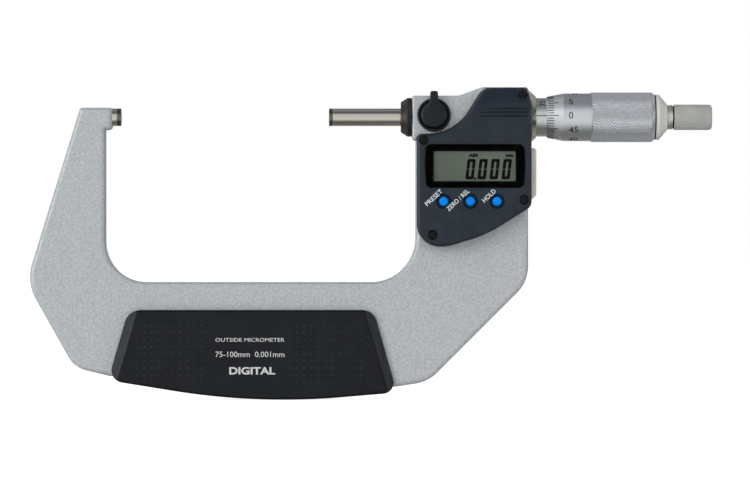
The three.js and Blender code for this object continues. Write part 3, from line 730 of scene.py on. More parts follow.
def measuring_faces():
    face_rod("anvil_stem", "anvil", "steel", 0.05)
    face_rod("anvil_carbide", "anvil_tip", "carbide", 0.12)
    face_rod("spindle_carbide", "spindle_tip", "carbide", 0.12, "spindle_unit")


def spindle_rod():
    low, high = extent("spindle")
    crest_r = radius_of("spindle")
    root_r = crest_r - THREAD_DEPTH
    profile = soft_profile([(low.x, 0), (low.x, SPINDLE_R, 0.05), (THREAD_START, SPINDLE_R)])
    profile.append((THREAD_START, root_r))
    for k in range(1, int((THREAD_END - THREAD_START) / THREAD_PITCH)):
        x = THREAD_START + THREAD_PITCH * k
        profile += [(x, crest_r), (x + THREAD_PITCH / 2, root_r)]
    profile += [(THREAD_END + 1, crest_r - 0.02), (high.x, 2.8), (high.x, 1.5), (183, 1.5), (183, 0)]
    screw = turned("spindle_rod", profile, 64)
    key = extent("rotor_key")
    cut(screw, block("keyway", (key[0].x - TRAVEL - 0.5, -0.5, 2.5), (key[1].x + 0.5, 0.5, 4)))
    place_piece(screw, "steel", "spindle", body="spindle_unit")


def nose_nut():
    low, high = extent("nose_nut")
    radius = radius_of("nose_nut")
    profile = [
        (low.x, 3.4), (low.x, 5.45, 0.4), (low.x + 2.4, radius, 0.4), (high.x, radius, 0.2),
        (high.x, 4.9), (101.8, 4.9), (101.8, 3.4),
    ]
    place_piece(turned("nose_cap", profile), "blackened", "nose_nut")


def clamp_lever():
    centre = centre_of("clamp_stem")
    low, high = extent("clamp_lever")
    radius = (high.x - low.x) / 2
    front, back = low.y + 1, high.y
    rim = [
        (front, 0), (front, radius - 1.9, 0.5), (front + 0.5, radius - 1.3, 0.4),
        (back - 0.75, radius - 1.15, 0.1), (back - 0.7, radius - 0.95, 0.2),
        (back - 1.25, radius - 0.75, 0.25), (back - 1.2, radius, 0.35), (back, radius, 0.1), (back, 0),
    ]
    disc = turned_across("lever_disc", centre, rim, 96)
    neck = centre.z + 5.2
    root = centre.z + 0.8
    corners = [
        (centre.x - 1.35, high.z, 0.7), (centre.x + 1.35, high.z, 0.7), (centre.x + 1.5, neck, 4),
        (centre.x + 3.4, root, 0), (centre.x - 3.4, root, 0), (centre.x - 1.5, neck, 4),
    ]
    pointer = plate("pointer", corners, low.y + 0.1, back - 1.1, 0.5, 0.3)
    slice_at(pointer, 2, [centre.z + 1.2 + 0.5 * k for k in range(9)])

    def sink_root(point):
        """Brings the pointer's root down to the face of the disc."""
        depth = max(0.0, min(1.0, (neck - point.z) / 4.4)) if point.y < front else 0.0
        return (0, depth * (front + 0.05 - point.y), 0)

    bend(pointer, sink_root)
    join(disc, pointer)
    cut(disc, pin("stem_socket", centre, -9.4, -6, 1.55))
    place_piece(disc, "clamp_plastic", "clamp_lever", body="clamp_unit")


# ---------- display unit ----------

BARREL_R = -COVER_FRONT
COVER_EDGE = 1.4
GROOVE_LEVELS = (2.7, 1.45, 0.0)
GROOVE_X = (127.5, 147.2)


def barrel_lift(z):
    """How far the cover's front falls back above the spindle axis, where it is a barrel."""
    return BARREL_R - sqrt(BARREL_R**2 - z * z) if z > 0 else 0.0


def groove_depth(x, z):
    """Thumb grooves across the barrel, fading out to the left."""
    start = GROOVE_X[0] + (GROOVE_LEVELS[0] - z) * -0.7
    fade = max(0.0, min(1.0, (x - start) / 6)) * max(0.0, min(1.0, (GROOVE_X[1] - x) / 0.8))
    near = min(abs(z - level) for level in GROOVE_LEVELS)
    return 0.3 * fade * max(0.0, 1 - near / 0.34)


def drape(point):
    """Moves the cover's front from flat to barrel shaped, with its grooves."""
    if point.y > -9.9:
        return (0, 0, 0)
    outer = 1.0 if point.y < COVER_FRONT + 0.4 else 0.0
    return (0, barrel_lift(point.z) + outer * groove_depth(point.x, point.z), 0)


def cover_tools():
    tools = [
        plate("hollow", COVER_CORNERS, COVER_FRONT + 1.5, 0, sunk=1.5),
        plate("window_opening", WINDOW_CORNERS, COVER_FRONT - 1, -11.4, sunk=-0.08),
    ]
    for name in BUTTONS:
        centre = centre_of(name)
        tools.append(pin(name + "_hole", centre, COVER_FRONT - 1, -10, 2.05, 48))
        dish = [(-14, 0), (-14, 2.85), (-13, 2.75, 0.2), (-12.35, 2.6, 0.1), (-12.35, 0)]
        tools.append(turned_across(name + "_dish", centre, dish))
    return tools


def screw_tools():
    tools = []
    for name in COVER_SCREWS:
        screw = centre_of(name)
        sink = [(-14, 0), (-14, 2.05), (-13, 1.9, 0.15), (-12.7, 1.62, 0.1), (-11.7, 1.62), (-11.7, 0)]
        tools.append(turned_across(name + "_sink", screw, sink))
        tools.append(pin(name + "_way", screw, -12, -5, 1))
    return tools


def front_cover():
    cover = plate("cover_shell", COVER_CORNERS, COVER_FRONT, COVER_RIM, COVER_EDGE, segments=7)
    cut(cover, *cover_tools())
    posts = [pin("post", centre_of(name), COVER_FRONT + 1, COVER_RIM, 2.15) for name in COVER_SCREWS]
    join(posts[0], *posts[1:])
    inner = plate("inside", COVER_CORNERS, COVER_FRONT + 0.5, 0, sunk=0.45)
    combine(posts[0], [inner], "INTERSECT")
    join(cover, posts[0])
    cut(cover, *screw_tools())
    bends = [level + step * 0.17 for level in GROOVE_LEVELS for step in (-2, -1, 0, 1, 2)]
    slice_at(cover, 2, sorted({*bends, *[0.45 * k for k in range(-2, 24)]}))
    slice_at(cover, 0, [GROOVE_X[0] - 4 + 1.5 * k for k in range(15)])
    bend(cover, drape)
    cut(cover, rod("sleeve_notch", 143.3, BOSS_END + 1, 8.9, 96))
    place_piece(cover, "cover_plastic", "front_cover", angle=28)


def cover_screw(name, slot_turn):
    """Black screw with a cross recess, lying along Y with its head to the front."""
    centre = centre_of(name)
    low, high = extent(name)
    top = low.y + 0.15
    profile = [
        (top, 0), (top, 1.3, 0.3), (low.y + 0.5, 1.45, 0.1), (low.y + 1, 1.45), (low.y + 1, 0.9),
        (high.y, 0.9, 0.2), (high.y, 0),
    ]
    screw = turned_across(name + "_head", centre, profile)
    arms = []
    for turn in (slot_turn, slot_turn + pi / 2):
        arm = block("arm", (-0.95, low.y - 1, -0.21), (0.95, low.y + 0.7, 0.21))
        arm.data.transform(Matrix.Rotation(turn, 4, "Y"))
        arm.data.transform(Matrix.Translation(Vector((centre.x, 0, centre.z)) * MM))
        arms.append(arm)
    cut(screw, join(arms[0], arms[1]))
    place_piece(screw, "blackened", name, material=screw_black)


def cover_screws():
    for index, name in enumerate(COVER_SCREWS):
        cover_screw(name, 0.4 + 0.9 * index)


def display_window():
    low, high = extent("window_frame")
    lens_low, lens_high = extent("window_lens")
    lens = rectangle(lens_low.x, lens_high.x, lens_low.z, lens_high.z, 1.2)
    bezel = plate("window_bezel", WINDOW_CORNERS, low.y, high.y, 0.15)
    seat = plate("seat", lens, low.y - 1, lens_high.y + 0.05, sunk=-0.1)
    sight = plate("sight", lens, low.y - 1, high.y + 1, sunk=0.7)
    cut(bezel, join(seat, sight))
    place_piece(bezel, "window_black", "window_frame")
    pane = plate("window_pane", lens, lens_low.y, lens_high.y, 0.15)
    place_piece(pane, "window_clear", "window_lens")


ZERO = {"width": 2.98, "height": 7.3, "stroke": 1.08, "gap": 0.2, "corner": 0.6}
DIGIT_PITCH = 4.31
DIGIT_SLANT = 0.115


def zero_halves():
    """Upper and lower bracket of a seven-segment zero, from its lower left corner."""
    width, height, stroke = ZERO["width"], ZERO["height"], ZERO["stroke"]
    foot = (height + ZERO["gap"]) / 2
    upper = [
        (0, foot, 0), (0, height, ZERO["corner"]), (width, height, ZERO["corner"]), (width, foot, 0),
        (width - stroke, foot, 0), (width - stroke, height - stroke, 0), (stroke, height - stroke, 0),
        (stroke, foot, 0),
    ]
    lower = [(across, height - up, radius) for across, up, radius in upper]
    return [rounded(upper), rounded(lower)]


def lcd_sheets(y):
    """The reading 0.000 and its small marks."""
    low, high = extent("lcd_panel")
    base = Vector((high.x - 18.45, low.z + 1.8))
    outlines = []
    for place in range(4):
        left = base + Vector((place * DIGIT_PITCH, 0))
        outlines += [[left + point for point in half] for half in zero_halves()]
    dot = base + Vector((ZERO["width"] + 0.5, 0.3))
    outlines.append([dot + Vector(corner) * 0.37 for corner in SQUARE])
    sheets = []
    for outline in outlines:
        slanted = [(p.x + (p.y - base.y) * DIGIT_SLANT, p.y) for p in outline]
        front = [(x, y, z) for x, z in slanted]
        back = [(x, y + INK, z) for x, z in slanted]
        sheets.append((front, back, [tuple(range(len(outline)))]))
    top = low.z + 10.3
    sheets.append(flat_text("mm", 2.76, 0.95, (high.x - 2.6, y, top), weight=0.07, shear=0.1))
    sheets.append(flat_text("ABS", 3.5, 1.2, (high.x - 15.6, y, top + 0.1), weight=0.06, shear=0.1))
    return sheets


def display():
    low, high = extent("lcd_panel")
    panel = plate("lcd_cell", rectangle(low.x, high.x, low.z, high.z, 0.2), low.y, high.y, 0.1, 0.1)
    place_piece(panel, "lcd", "lcd_panel")
    reading = ink_from("lcd_reading", lcd_sheets(low.y - INK - 0.02))
    place_piece(reading, "window_black", material=lcd_ink)


def buttons():
    """Blue domed caps, each in a well with a dark rubber ring whose darkness is partly painted shade of
    the recess.
    """
    for name in BUTTONS:
        centre = centre_of(name)
        low, high = extent(name)
        profile = [
            (low.y, 0), (low.y + 0.1, 1.3, 0.8), (low.y + 0.7, 1.66, 0.2), (-11.35, 1.7), (-11.35, 2.6),
            (high.y, 2.6), (high.y, 0),
        ]
        cap = turned_across(name + "_cap", centre, profile, 64)
        place_piece(cap, "blue_plastic", name, body=name + "_unit")
        well = [
            (-12.1, 1.8), (-12.5, 1.84, 0.15), (-12.42, 2.5, 0.1), (-12.85, 2.68, 0.1), (-12.85, 2.72),
            (-12.1, 2.72),
        ]
        # The ring's dark navy is partly painted shade of the recess.
        ring = turned_across(name + "_well", centre, well, 64)
        place_piece(ring, "rubber", material=well_seal_and_shade)


def cover_lettering():
    """Generic words beside the buttons, each ending above its button."""
    sheets = []
    slope = radians(43)
    for name, word, length in zip(BUTTONS, ("PRESET", "ZERO / REL", "HOLD"), (7.6, 10.2, 5.7)):
        centre = centre_of(name)
        end = Vector((centre.x - 0.8, centre.z + 3.95))
        middle = end - Vector((cos(slope), sin(slope))) * length / 2
        place = (middle.x, COVER_FRONT - INK / 2, middle.y)
        sheets.append(flat_text(word, length, 1.65, place, slope, weight=0.004))
    words = ink_from("button_words", sheets)
    place_piece(words, "cover_plastic", material=white_ink)


# ---------- port and battery lid ----------


def port_screw(name):
    """Slotted screw along X; gives the tool that cuts its seat in the cap."""
    _, y, z = centre_of(name)
    middle = (0, y, z)
    profile = [
        (142, 0), (142, 0.8, 0.2), (148.7, 0.8), (148.7, 1.4, 0.05), (149.2, 1.4, 0.1), (149.5, 1.15, 0.1),
        (149.5, 0),
    ]
    way = rod(name + "_way", 146, 151, 0.95, 32, middle)
    join(way, rod(name + "_sink", 148.6, 151, 1.6, 32, middle))
    head = turned(name + "_head", profile, 32, middle)
    cut(head, block("slot", (149.05, y - 2, z - 0.17), (150, y + 2, z + 0.17)))
    place_piece(head, "blackened", name, material=screw_black)
    return way


def port_cap():
    low, high = extent("port_cap")
    corners = [
        (low.x, high.z, 0), (high.x, high.z, 1.2), (high.x, low.z + 1.6, 0.8), (high.x - 1.5, low.z, 0.3),
        (low.x, low.z, 0),
    ]
    cap = plate("port_lid", corners, low.y, high.y, 0.6, 0.6)
    cut(cap, port_screw("port_screw_upper"), port_screw("port_screw_lower"))
    place_piece(cap, "grey_plastic", "port_cap", material=pale_plastic)


def battery_lid():
    centre = centre_of("battery_lid")
    low, high = extent("battery_lid")
    radius = radius_of("battery_lid")
    profile = [
        (low.y, 0), (low.y, 7.05, 0.2), (7.05, 7.05), (7.05, radius, 0.1), (high.y - 0.3, radius, 0.2),
        (high.y, radius - 0.5, 0.3), (high.y, 6.4, 0.2), (high.y - 0.25, 6.1, 0.2), (high.y - 0.25, 0),
    ]
    lid = turned_across("lid_disc", centre, profile, 96)
    slot = rectangle(centre.x - 5, centre.x + 5, centre.z - 0.9, centre.z + 0.9, 0.85)
    cut(lid, plate("coin_slot", slot, high.y - 1.8, high.y + 1, front_edge=0.8))
    place_piece(lid, "satin_chrome", "battery_lid", body="lid_unit")
    marks = ink_from("lid_marks", [
        flat_text("OPEN", 4.2, 1.1, (centre.x, high.y - 0.23, centre.z + 3.6), back=True),
        flat_text("+", 1.6, 1.6, (centre.x, high.y - 0.23, centre.z - 3.6), back=True),
    ])
    place_piece(marks, "blackened", body="lid_unit", material=black_ink)


# ---------- sleeve and thimble ----------

LINE = 0.25
DIVISIONS = 50
RANGE_START = 75
ZERO_ANGLE = radians(3.1)
TAPER_END = 159.5
BAND_END = 169.5
KNURL_STARTS = 48
KNURL_PITCH = 2 * pi * THIMBLE_R / KNURL_STARTS
KNURL_DEPTH = 0.24
KNURL_SPAN = (BAND_END + 0.25, THIMBLE_END - 1)
FIGURES_START = 161.25


def numeral(number, height):
    """Figure of a given height; two digits take about twice the width of one."""
    text = str(number)
    width = height * (0.62 * len(text) + 0.14 * (len(text) - 1))
    return letter_mesh(text, width, height), width


def sleeve_radius(_):
    """The sleeve is straight, so its radius is the same everywhere."""
    return SLEEVE_R


def thimble_radius(x):
    """Radius of the thimble ahead of its knurl."""
    if x < TAPER_END:
        return 7.3 + (8.6 - 7.3) * (x - THIMBLE_EDGE) / (TAPER_END - THIMBLE_EDGE)
    return 8.6 + 0.05 * (x - TAPER_END) / (BAND_END - TAPER_END)


def knurled(along, angle, radius):
    """Pointed diamond knurl between the band and the thimble's rear edge."""
    if radius < THIMBLE_R - 0.01 or not KNURL_SPAN[0] < along < KNURL_SPAN[1]:
        return radius
    across = angle * KNURL_STARTS / (2 * pi)
    lengthwise = (along - KNURL_SPAN[0]) / KNURL_PITCH
    valleys = [abs(2 * ((across + sign * lengthwise) % 1) - 1) for sign in (1, -1)]
    return radius - KNURL_DEPTH * max(valleys)


def thimble():
    bore = SLEEVE_R + 0.12
    soften = TAPER_END - 0.4
    profile = [
        (THIMBLE_EDGE, bore), (THIMBLE_EDGE, 7.12), (THIMBLE_EDGE + 0.25, 7.32),
        (soften, thimble_radius(soften)), (TAPER_END, 8.59), (TAPER_END + 0.4, 8.602), (BAND_END, 8.65),
        (BAND_END + 0.05, 8.4), (THIMBLE_END - 0.3, 8.4), (THIMBLE_END, 8.15), (THIMBLE_END, 3),
        (186.4, 3.6), (185.2, 3.75), (185.2, bore),
    ]
    body = turned("thimble_drum", profile)
    place_piece(body, "satin_chrome", "thimble", body="spindle_unit", material=drum_chrome, angle=38)


def thimble_knurl():
    """The knurled part of the thimble, with its rear chamfer."""
    detail = 8
    steps = int((KNURL_SPAN[1] - KNURL_SPAN[0]) / KNURL_PITCH * detail)
    profile = [(BAND_END + 0.05, 8.3), (BAND_END + 0.05, 8.8)]
    profile += [(KNURL_SPAN[0] + KNURL_PITCH * k / detail, THIMBLE_R) for k in range(steps + 1)]
    profile += [(KNURL_SPAN[1], THIMBLE_R), (THIMBLE_END - 0.1, 8.3)]
    ring = turned("thimble_knurl", profile, KNURL_STARTS * detail, radial=knurled)
    place_piece(ring, "satin_chrome", body="spindle_unit", material=knurl_painted_shade, angle=12)


def thimble_scale():
    """Fifty divisions on the taper, with a figure at every fifth."""
    sheets = []
    for division in range(DIVISIONS):
        angle = ZERO_ANGLE + 2 * pi * division / DIVISIONS
        length = 4.1 if division % 5 == 0 else 2.5
        sheets.append(drum_line(thimble_radius, THIMBLE_EDGE + 0.15, THIMBLE_EDGE + length, angle, LINE))
        if division % 5 == 0:
            (points, faces), width = numeral(division, 2.5)
            sheets.append(wrapped(thimble_radius, FIGURES_START + width / 2, angle, points, faces))
    place_piece(ink_from("thimble_scale", sheets), "satin_chrome", body="spindle_unit", material=black_ink)


def sleeve():
    low, high = extent("sleeve")
    profile = [(low.x, 6.15), (low.x, SLEEVE_R, 0.05), (high.x, SLEEVE_R, 0.2), (high.x, 6.15)]
    place_piece(turned("sleeve_tube", profile), "satin_chrome", "sleeve")


def sleeve_scale():
    """Reference line, millimetre ticks above it, half millimetres below, a figure every 5 mm."""
    sheets = [drum_line(sleeve_radius, BOSS_END + 0.1, SLEEVE_END - 0.3, ZERO_ANGLE, LINE)]
    for step in range(2 * TRAVEL + 1):
        x = THIMBLE_EDGE - 0.12 + step / 2
        long_tick = step % 10 == 0
        reach = 2.6 if long_tick else 1.7
        side = 1 if step % 2 == 0 else -1
        points = [(-LINE / 2, 0), (LINE / 2, 0), (LINE / 2, side * reach), (-LINE / 2, side * reach)]
        tick = [(0, 1, 2, 3)] if side > 0 else [(3, 2, 1, 0)]
        sheets.append(wrapped(sleeve_radius, x, ZERO_ANGLE, points, tick))
        if long_tick:
            (points, faces), _ = numeral(RANGE_START + step // 2, 1.95)
            angle = ZERO_ANGLE + radians(42)
            sheets.append(wrapped(sleeve_radius, x - 1.55, angle, points, faces, radians(90)))
    place_piece(ink_from("sleeve_scale", sheets), "satin_chrome", material=black_ink)


# ---------- ratchet stop ----------

FLUTES = 30


def washer(name, x0, x1, radius, body):
    """Painted shade: a black ring filling the gap between two turned parts, so that the gap shows as a
    dark line.
    """
    ring = turned(name, [(x0, 2.9), (x0, radius, 0.05), (x1, radius, 0.05), (x1, 2.9)])
    place_piece(ring, "rubber", body=body)


def end_cap():
    low, high = extent("end_cap")
    radius = radius_of("end_cap")
    profile = [
        (low.x + 0.4, 3.4), (low.x + 0.4, radius, 0.1), (low.x + 1.6, radius, 0.3), (high.x, 4.7, 0.3),
        (high.x, 3.4),
    ]
    cap = turned("rear_cap", profile)
    place_piece(cap, "grey_plastic", "end_cap", body="spindle_unit", material=pale_plastic)
    # Painted shade: a black ring in the gap between the thimble and the cap.
    washer("cap_gap_shade", low.x, low.x + 0.4, radius - 0.2, "spindle_unit")


def ratchet_hub():
    low, high = extent("ratchet_hub")
    radius = radius_of("ratchet_hub")
    start = high.x - 1.8
    profile = [
        (low.x, 1.5), (low.x, 3.3), (start, 3.3), (start, radius, 0.15), (start + 0.6, radius, 0.1),
        (start + 0.75, radius - 0.2, 0.1), (start + 0.9, radius, 0.1), (high.x, radius, 0.1),
        (high.x, 1.5),
    ]
    hub = turned("neck_hub", profile)
    angle = radians(-55)
    bore = pin("pin_bore", Vector(), -6, -3.6, 0.5, 24)
    bore.data.transform(Matrix.Rotation(-angle, 4, "X"))
    bore.data.transform(Matrix.Translation(Vector((start + 1.0, 0, 0)) * MM))
    cut(hub, bore)
    place_piece(hub, "satin_chrome", "ratchet_hub", body="spindle_unit")


def ratchet_knob():
    low, high = extent("ratchet_knob")
    radius = radius_of("ratchet_knob")

    def fluted(along, angle, value):
        if value < radius - 0.45 or not low.x + 0.7 < along < high.x - 1.2:
            return value
        wave = abs(sin(angle * FLUTES / 2))
        ends = min(1.0, (along - low.x - 0.7) / 0.5, (high.x - 1.2 - along) / 0.5)
        return value - 0.13 * ends * (1 - wave) ** 1.5

    grip = [(low.x + 0.6 + k * 0.4, radius) for k in range(30)]
    start = low.x + 0.35
    profile = [(start, 3.4), (start, radius - 0.25), (start + 0.2, radius)] + grip
    profile += [(high.x - 1.0, radius - 0.04), (high.x - 0.4, radius - 0.2), (high.x - 0.1, radius - 0.45)]
    profile += [(high.x, radius - 0.7), (high.x, 3.15), (high.x - 0.15, 3), (208.4, 3), (208.4, 1.6)]
    profile += [(206.6, 1.6), (206.6, 3.4)]
    knob = turned("ratchet_grip", profile, FLUTES * 8, radial=fluted)
    place_piece(knob, "grey_plastic", "ratchet_knob", body="ratchet_unit", angle=40)
    # Painted shade: a black ring in the gap between the hub and the knob.
    washer("knob_gap_shade", low.x, start, radius - 0.5, "ratchet_unit")


# ---------- grip plates ----------

GRIP_FACE = -GRIP_HALF + 0.15
SIDE_BEVEL = 3.2
RIDGE = 1.0


def bevel_side(obj, top, bottom, side):
    """Planes off the grip's short side so that it slopes back from the front face."""
    edge = Vector((bottom.x - top.x, 0, bottom.y - top.y)).normalized()
    outward = Vector((-edge.z, 0, edge.x)) * side
    foot = Vector((top.x, -BOW_HALF - 1.3, top.y))
    shoulder = foot - outward * SIDE_BEVEL
    shoulder.y = GRIP_FACE
    normal = edge.cross(shoulder - foot).normalized()
    if normal.y > 0:
        normal.negate()
    shape = bmesh.new()
    shape.from_mesh(obj.data)
    everything = shape.verts[:] + shape.edges[:] + shape.faces[:]
    made = bmesh.ops.bisect_plane(
        shape, geom=everything, plane_co=foot * MM, plane_no=normal, clear_outer=True, dist=1e-7
    )
    rim = [e for e in made["geom_cut"] if isinstance(e, bmesh.types.BMEdge)]
    bmesh.ops.contextual_create(shape, geom=rim)
    ridge = [e for e in rim if all(v.co.y < (-GRIP_HALF + 0.16) * MM for v in e.verts)]
    bmesh.ops.bevel(shape, geom=ridge, offset=RIDGE * MM, segments=4, profile=0.5, affect="EDGES")
    bmesh.ops.recalc_face_normals(shape, faces=shape.faces)
    shape.to_mesh(obj.data)
    shape.free()


def grip_half(name):
    """The front half of the grip, with its lip under the bow."""
    half = plate(name, GRIP_CORNERS, GRIP_FACE, -0.1, 1.1, 0.2)
    cut(half, plate("bow_room", FRAME_CORNERS, -BOW_HALF - 0.1, 5, sunk=-0.3))
    for top, bottom, side in zip(GRIP_TOP, GRIP_BOTTOM, (-1, 1)):
        bevel_side(half, Vector(top[:2]), Vector(bottom[:2]), side)
    return half


DOT_PITCH = (2.55, 2.53)
DOT_SPAN = ((3.9, 30.2), (61.2, 87.5))


def grip_dots(name):
    """Rows of low round dots at both ends of the grip's face, clear of its sloping sides."""
    vertices, faces = [], []
    sides, radius, height = 12, 0.5, 0.15
    rings = ((1, -0.05), (0.75, 0.6), (0.35, 0.95))
    for row in range(9):
        z = -75.2 - row * DOT_PITCH[1]
        clear_x = 7.4 - 0.66 * row
        for start_x, end_x in DOT_SPAN:
            for column in range(11):
                x = start_x + column * DOT_PITCH[0]
                if x < clear_x or x > end_x:
                    continue
                faces += stacked_faces(sides, len(rings), len(vertices))
                for share, rise in rings:
                    for i in range(sides):
                        a = 2 * pi * i / sides
                        across, up = radius * share * cos(a), radius * share * sin(a)
                        vertices.append((x + across, GRIP_FACE - height * rise, z + up))
    return make_object(name, vertices, faces)


def grip_screw_seats():
    seats = []
    for name in GRIP_SCREWS:
        seats.append(pin(name + "_way", centre_of(name), 4, 10, 1.4))
        seats.append(pin(name + "_seat", centre_of(name), 6.8, 10, 2.6))
    return seats


def mirrored(obj):
    """Turns a front piece into the matching rear one."""
    obj.data.transform(Matrix.Scale(-1, 4, (0, 1, 0)))
    obj.data.flip_normals()
    return obj


def grip_screw(name):
    centre = centre_of(name)
    low, high = extent(name)
    profile = [
        (low.y, 0), (low.y, 1.3, 0.3), (6.9, 1.3), (6.9, 2.4, 0.1), (high.y - 0.5, 2.4, 0.3),
        (high.y, 1.7, 0.4), (high.y, 0),
    ]
    screw = turned_across(name + "_head", centre, profile)
    corner = (centre.x - 2.6, high.y - 0.6, centre.z - 0.3)
    cut(screw, block("slot", corner, (centre.x + 2.6, high.y + 1, centre.z + 0.3)))
    place_piece(screw, "blackened", name, material=screw_black)


def grips():
    place_piece(grip_half("grip_plate_front"), "grip_plastic", "grip_front")
    # The dots' lighter plastic is painted highlight.
    place_piece(grip_dots("grip_dots_front"), "grip_plastic", material=dot_highlight_plastic)
    rear = cut(mirrored(grip_half("grip_plate_rear")), *grip_screw_seats())
    place_piece(rear, "grip_plastic", "grip_rear")
    place_piece(mirrored(grip_dots("grip_dots_rear")), "grip_plastic", material=dot_highlight_plastic)
    for name in GRIP_SCREWS:
        grip_screw(name)


def grip_lettering():
    """Generic words and the measuring range."""
    y = GRIP_FACE - INK / 2
    middle = 46.7
    sheets = [
        flat_text("OUTSIDE MICROMETER", 24.8, 1.35, (middle, y, -80.2), weight=0.004),
        flat_text("75-100mm  0.001mm", 24.8, 2.0, (middle, y, -85.4)),
        flat_text("DIGITAL", 16.5, 2.7, (middle + 0.8, y, -91.3), weight=0.03),
    ]
    place_piece(ink_from("grip_words", sheets), "grip_plastic", material=pale_ink)


# ---------- camera, light and floor ----------

CAMERA_BACK = 1430
VIEW_CENTRE = (91.6, -47.75)
VIEW_WIDTH = 270.9
SENSOR = 36
FLOOR_REACH = 9000
FLOOR_GLOW = 0.85


def camera():
    lens = bpy.data.cameras.new("camera")
    lens.sensor_width = SENSOR
    lens.lens = SENSOR * CAMERA_BACK / VIEW_WIDTH
    lens.clip_end = 20
    seen_from = linked("camera", lens)
    seen_from.location = Vector((VIEW_CENTRE[0], -CAMERA_BACK, VIEW_CENTRE[1])) * MM
    seen_from.rotation_euler = (pi / 2, 0, 0)
    bpy.context.scene.camera = seen_from


def softbox(name, place, size, power, reflected=True, diffuse=True):
    """Rectangular soft light at a place in metres, turned towards the middle of the view."""
    aim = Vector((VIEW_CENTRE[0], 0, VIEW_CENTRE[1])) * MM
    light = bpy.data.lights.new(name, "AREA")
    light.shape = "RECTANGLE"
    light.size, light.size_y = size
    light.energy = power
    obj = linked(name, light)
    obj.location = place
    obj.rotation_euler = (aim - Vector(place)).to_track_quat("-Z", "Y").to_euler()
    obj.visible_glossy = reflected
    obj.visible_diffuse = diffuse


# Brightness of the studio by the angle in degrees round the spindle's axis: 0 is behind the
# camera, 90 overhead and -90 below.
STUDIO = [
    (-180, 0.7), (-140, 0.3), (-118, 0.2), (-92, 0.15), (-74, 0.1), (-60, 0.14), (-46, 0.42),
    (-32, 0.84), (-12, 0.96), (4, 0.78), (14, 0.82), (26, 0.86), (38, 0.58), (51, 0.18),
    (64, 0.06), (84, 0.1), (118, 0.12), (140, 0.2), (180, 0.7),
]
SKY_TINT = (0.94, 1.0, 1.1)
MIDDLE_TINT = (1.0, 1.01, 1.0)
GROUND_TINT = (1.0, 1.0, 0.88)
# Light away from that round, and beyond the spindle's ends:
# (level, share of up or down, share of right, share of up).
SIDE_LIGHT = (0.1, 1.15, -0.15, 0.04)
END_LIGHT = (0.55, 0.0, -0.52, 0.0)


def studio_colour(degrees, level):
    tint = MIDDLE_TINT
    if degrees > 35:
        tint = SKY_TINT
    if degrees < -60:
        tint = GROUND_TINT
    return (*(level * share for share in tint), 1)


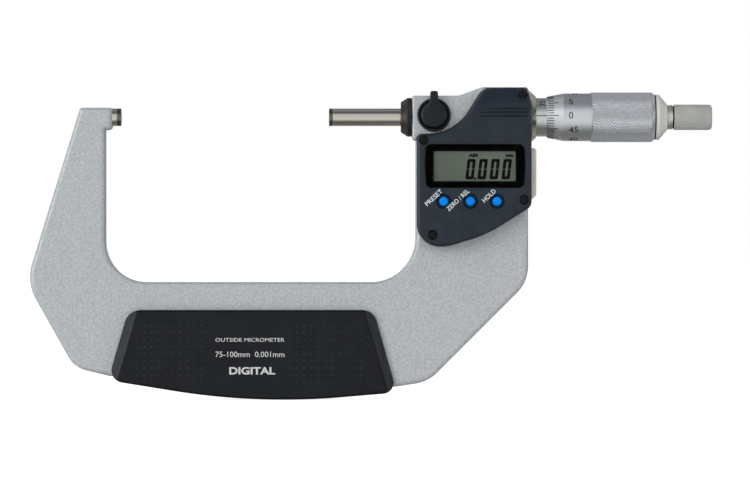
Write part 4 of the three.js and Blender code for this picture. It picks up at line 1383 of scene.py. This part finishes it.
def surroundings():
    """White backdrop to look at; the light and reflections come from bands round the spindle."""
    world = bpy.data.worlds.new("studio")
    world.use_nodes = True
    bpy.context.scene.world = world
    tree = world.node_tree

    def calculate(operation, *values):
        return add_node(tree, "Math", *values, operation=operation).outputs["Value"]

    def white(strength=1.0):
        return add_node(tree, "Background", (1, 1, 1, 1), strength).outputs["Background"]

    def mixed(factor, first, second):
        return add_node(tree, "MixShader", factor, first, second).outputs["Shader"]

    def ramp(value, start, end):
        return add_node(tree, "MapRange", value, start, end).outputs["Result"]

    direction = add_node(tree, "TexCoord").outputs["Generated"]
    right, back, up = add_node(tree, "SeparateXYZ", direction).outputs
    angle = calculate("ARCTAN2", up, calculate("MULTIPLY", back, -1))
    bands = add_node(tree, "ValToRGB", calculate("MULTIPLY_ADD", angle, 1 / (2 * pi), 0.5))
    stops = bands.color_ramp.elements
    for degrees, _ in STUDIO[1:-1]:
        stops.new(0.5 + degrees / 360)
    for stop, (degrees, level) in zip(stops, STUDIO):
        stop.position = 0.5 + degrees / 360
        stop.color = studio_colour(degrees, level)
    middle = tree.nodes["Background"]
    tree.links.new(bands.outputs["Color"], middle.inputs["Color"])
    sideways = calculate("ABSOLUTE", right)
    upright = calculate("ABSOLUTE", up)

    def light_of(level, upright_share, right_share, up_share):
        part = calculate("MULTIPLY_ADD", right, right_share, level)
        part = calculate("MULTIPLY_ADD", up, up_share, part)
        return white(calculate("MULTIPLY_ADD", upright, upright_share, part))

    room = mixed(ramp(sideways, 0.3, 0.5), middle.outputs["Background"], light_of(*SIDE_LIGHT))
    room = mixed(ramp(sideways, 0.88, 0.95), room, light_of(*END_LIGHT))
    camera_ray = add_node(tree, "LightPath").outputs["Is Camera Ray"]
    tree.links.new(mixed(camera_ray, room, white()), tree.nodes["World Output"].inputs["Surface"])


def flag(name, place, width, height):
    """Black card that the camera doesn't see; it keeps a dark reflection beside the lights."""
    x, y, z = (c / MM for c in place)
    corners = [(x + a * width / 2 / MM, y, z + b * height / 2 / MM) for a, b in SQUARE]
    card = make_object(name, corners, [(0, 1, 2, 3)])
    card.data.materials.append(Finish("black_card", (0.003, 0.003, 0.003, 1), 1.0).material)
    card.visible_camera = False


def floor():
    """Pale table just below the instrument; what the camera sees of it is lifted to white."""
    level = cad_bounds[0].z / MM - 0.05
    corners = [(x * FLOOR_REACH, y * FLOOR_REACH, level) for x, y in SQUARE]
    ground = make_object("floor", corners, [(0, 1, 2, 3)])
    finish = Finish("pale_floor", srgb(205, 204, 202), 0.9)
    finish.inputs["Emission Color"].default_value = (1, 1, 1, 1)
    seen = add_node(finish.tree, "LightPath").outputs["Is Camera Ray"]
    finish.tree.links.new(finish.remap(seen, 0.0, FLOOR_GLOW, 0, 1), finish.inputs["Emission Strength"])
    ground.data.materials.append(finish.material)
    ground.visible_glossy = False
    ground.visible_diffuse = False


bpy.context.scene.view_settings.view_transform = "Standard"
camera()
surroundings()
floor()
softbox("front", (0.0, -1.75, 0.1), (3.0, 1.5), 11, reflected=False)
softbox("left", (-1.1, -1.1, 0.3), (0.5, 0.9), 8)
softbox("left_sheen", (-1.1, -0.6, -0.1), (0.35, 0.9), 9, diffuse=False)
softbox("right", (1.3, -0.6, 0.0), (0.35, 0.9), 5)
softbox("overhead", (0.05, 0.075, 0.4), (0.2, 0.26), 0.04)
flag("camera_shade", (0.163, -1.5, 0.012), 0.17, 0.13)

for build in (
    paint_cad_nodes, frame_body, sleeve_collar, measuring_faces, spindle_rod, nose_nut, clamp_lever,
    front_cover, cover_screws, display_window, display, buttons, cover_lettering, port_cap,
    battery_lid, sleeve, sleeve_scale, thimble, thimble_knurl, thimble_scale, end_cap, ratchet_hub,
    ratchet_knob, grips, grip_lettering,
):
    build()
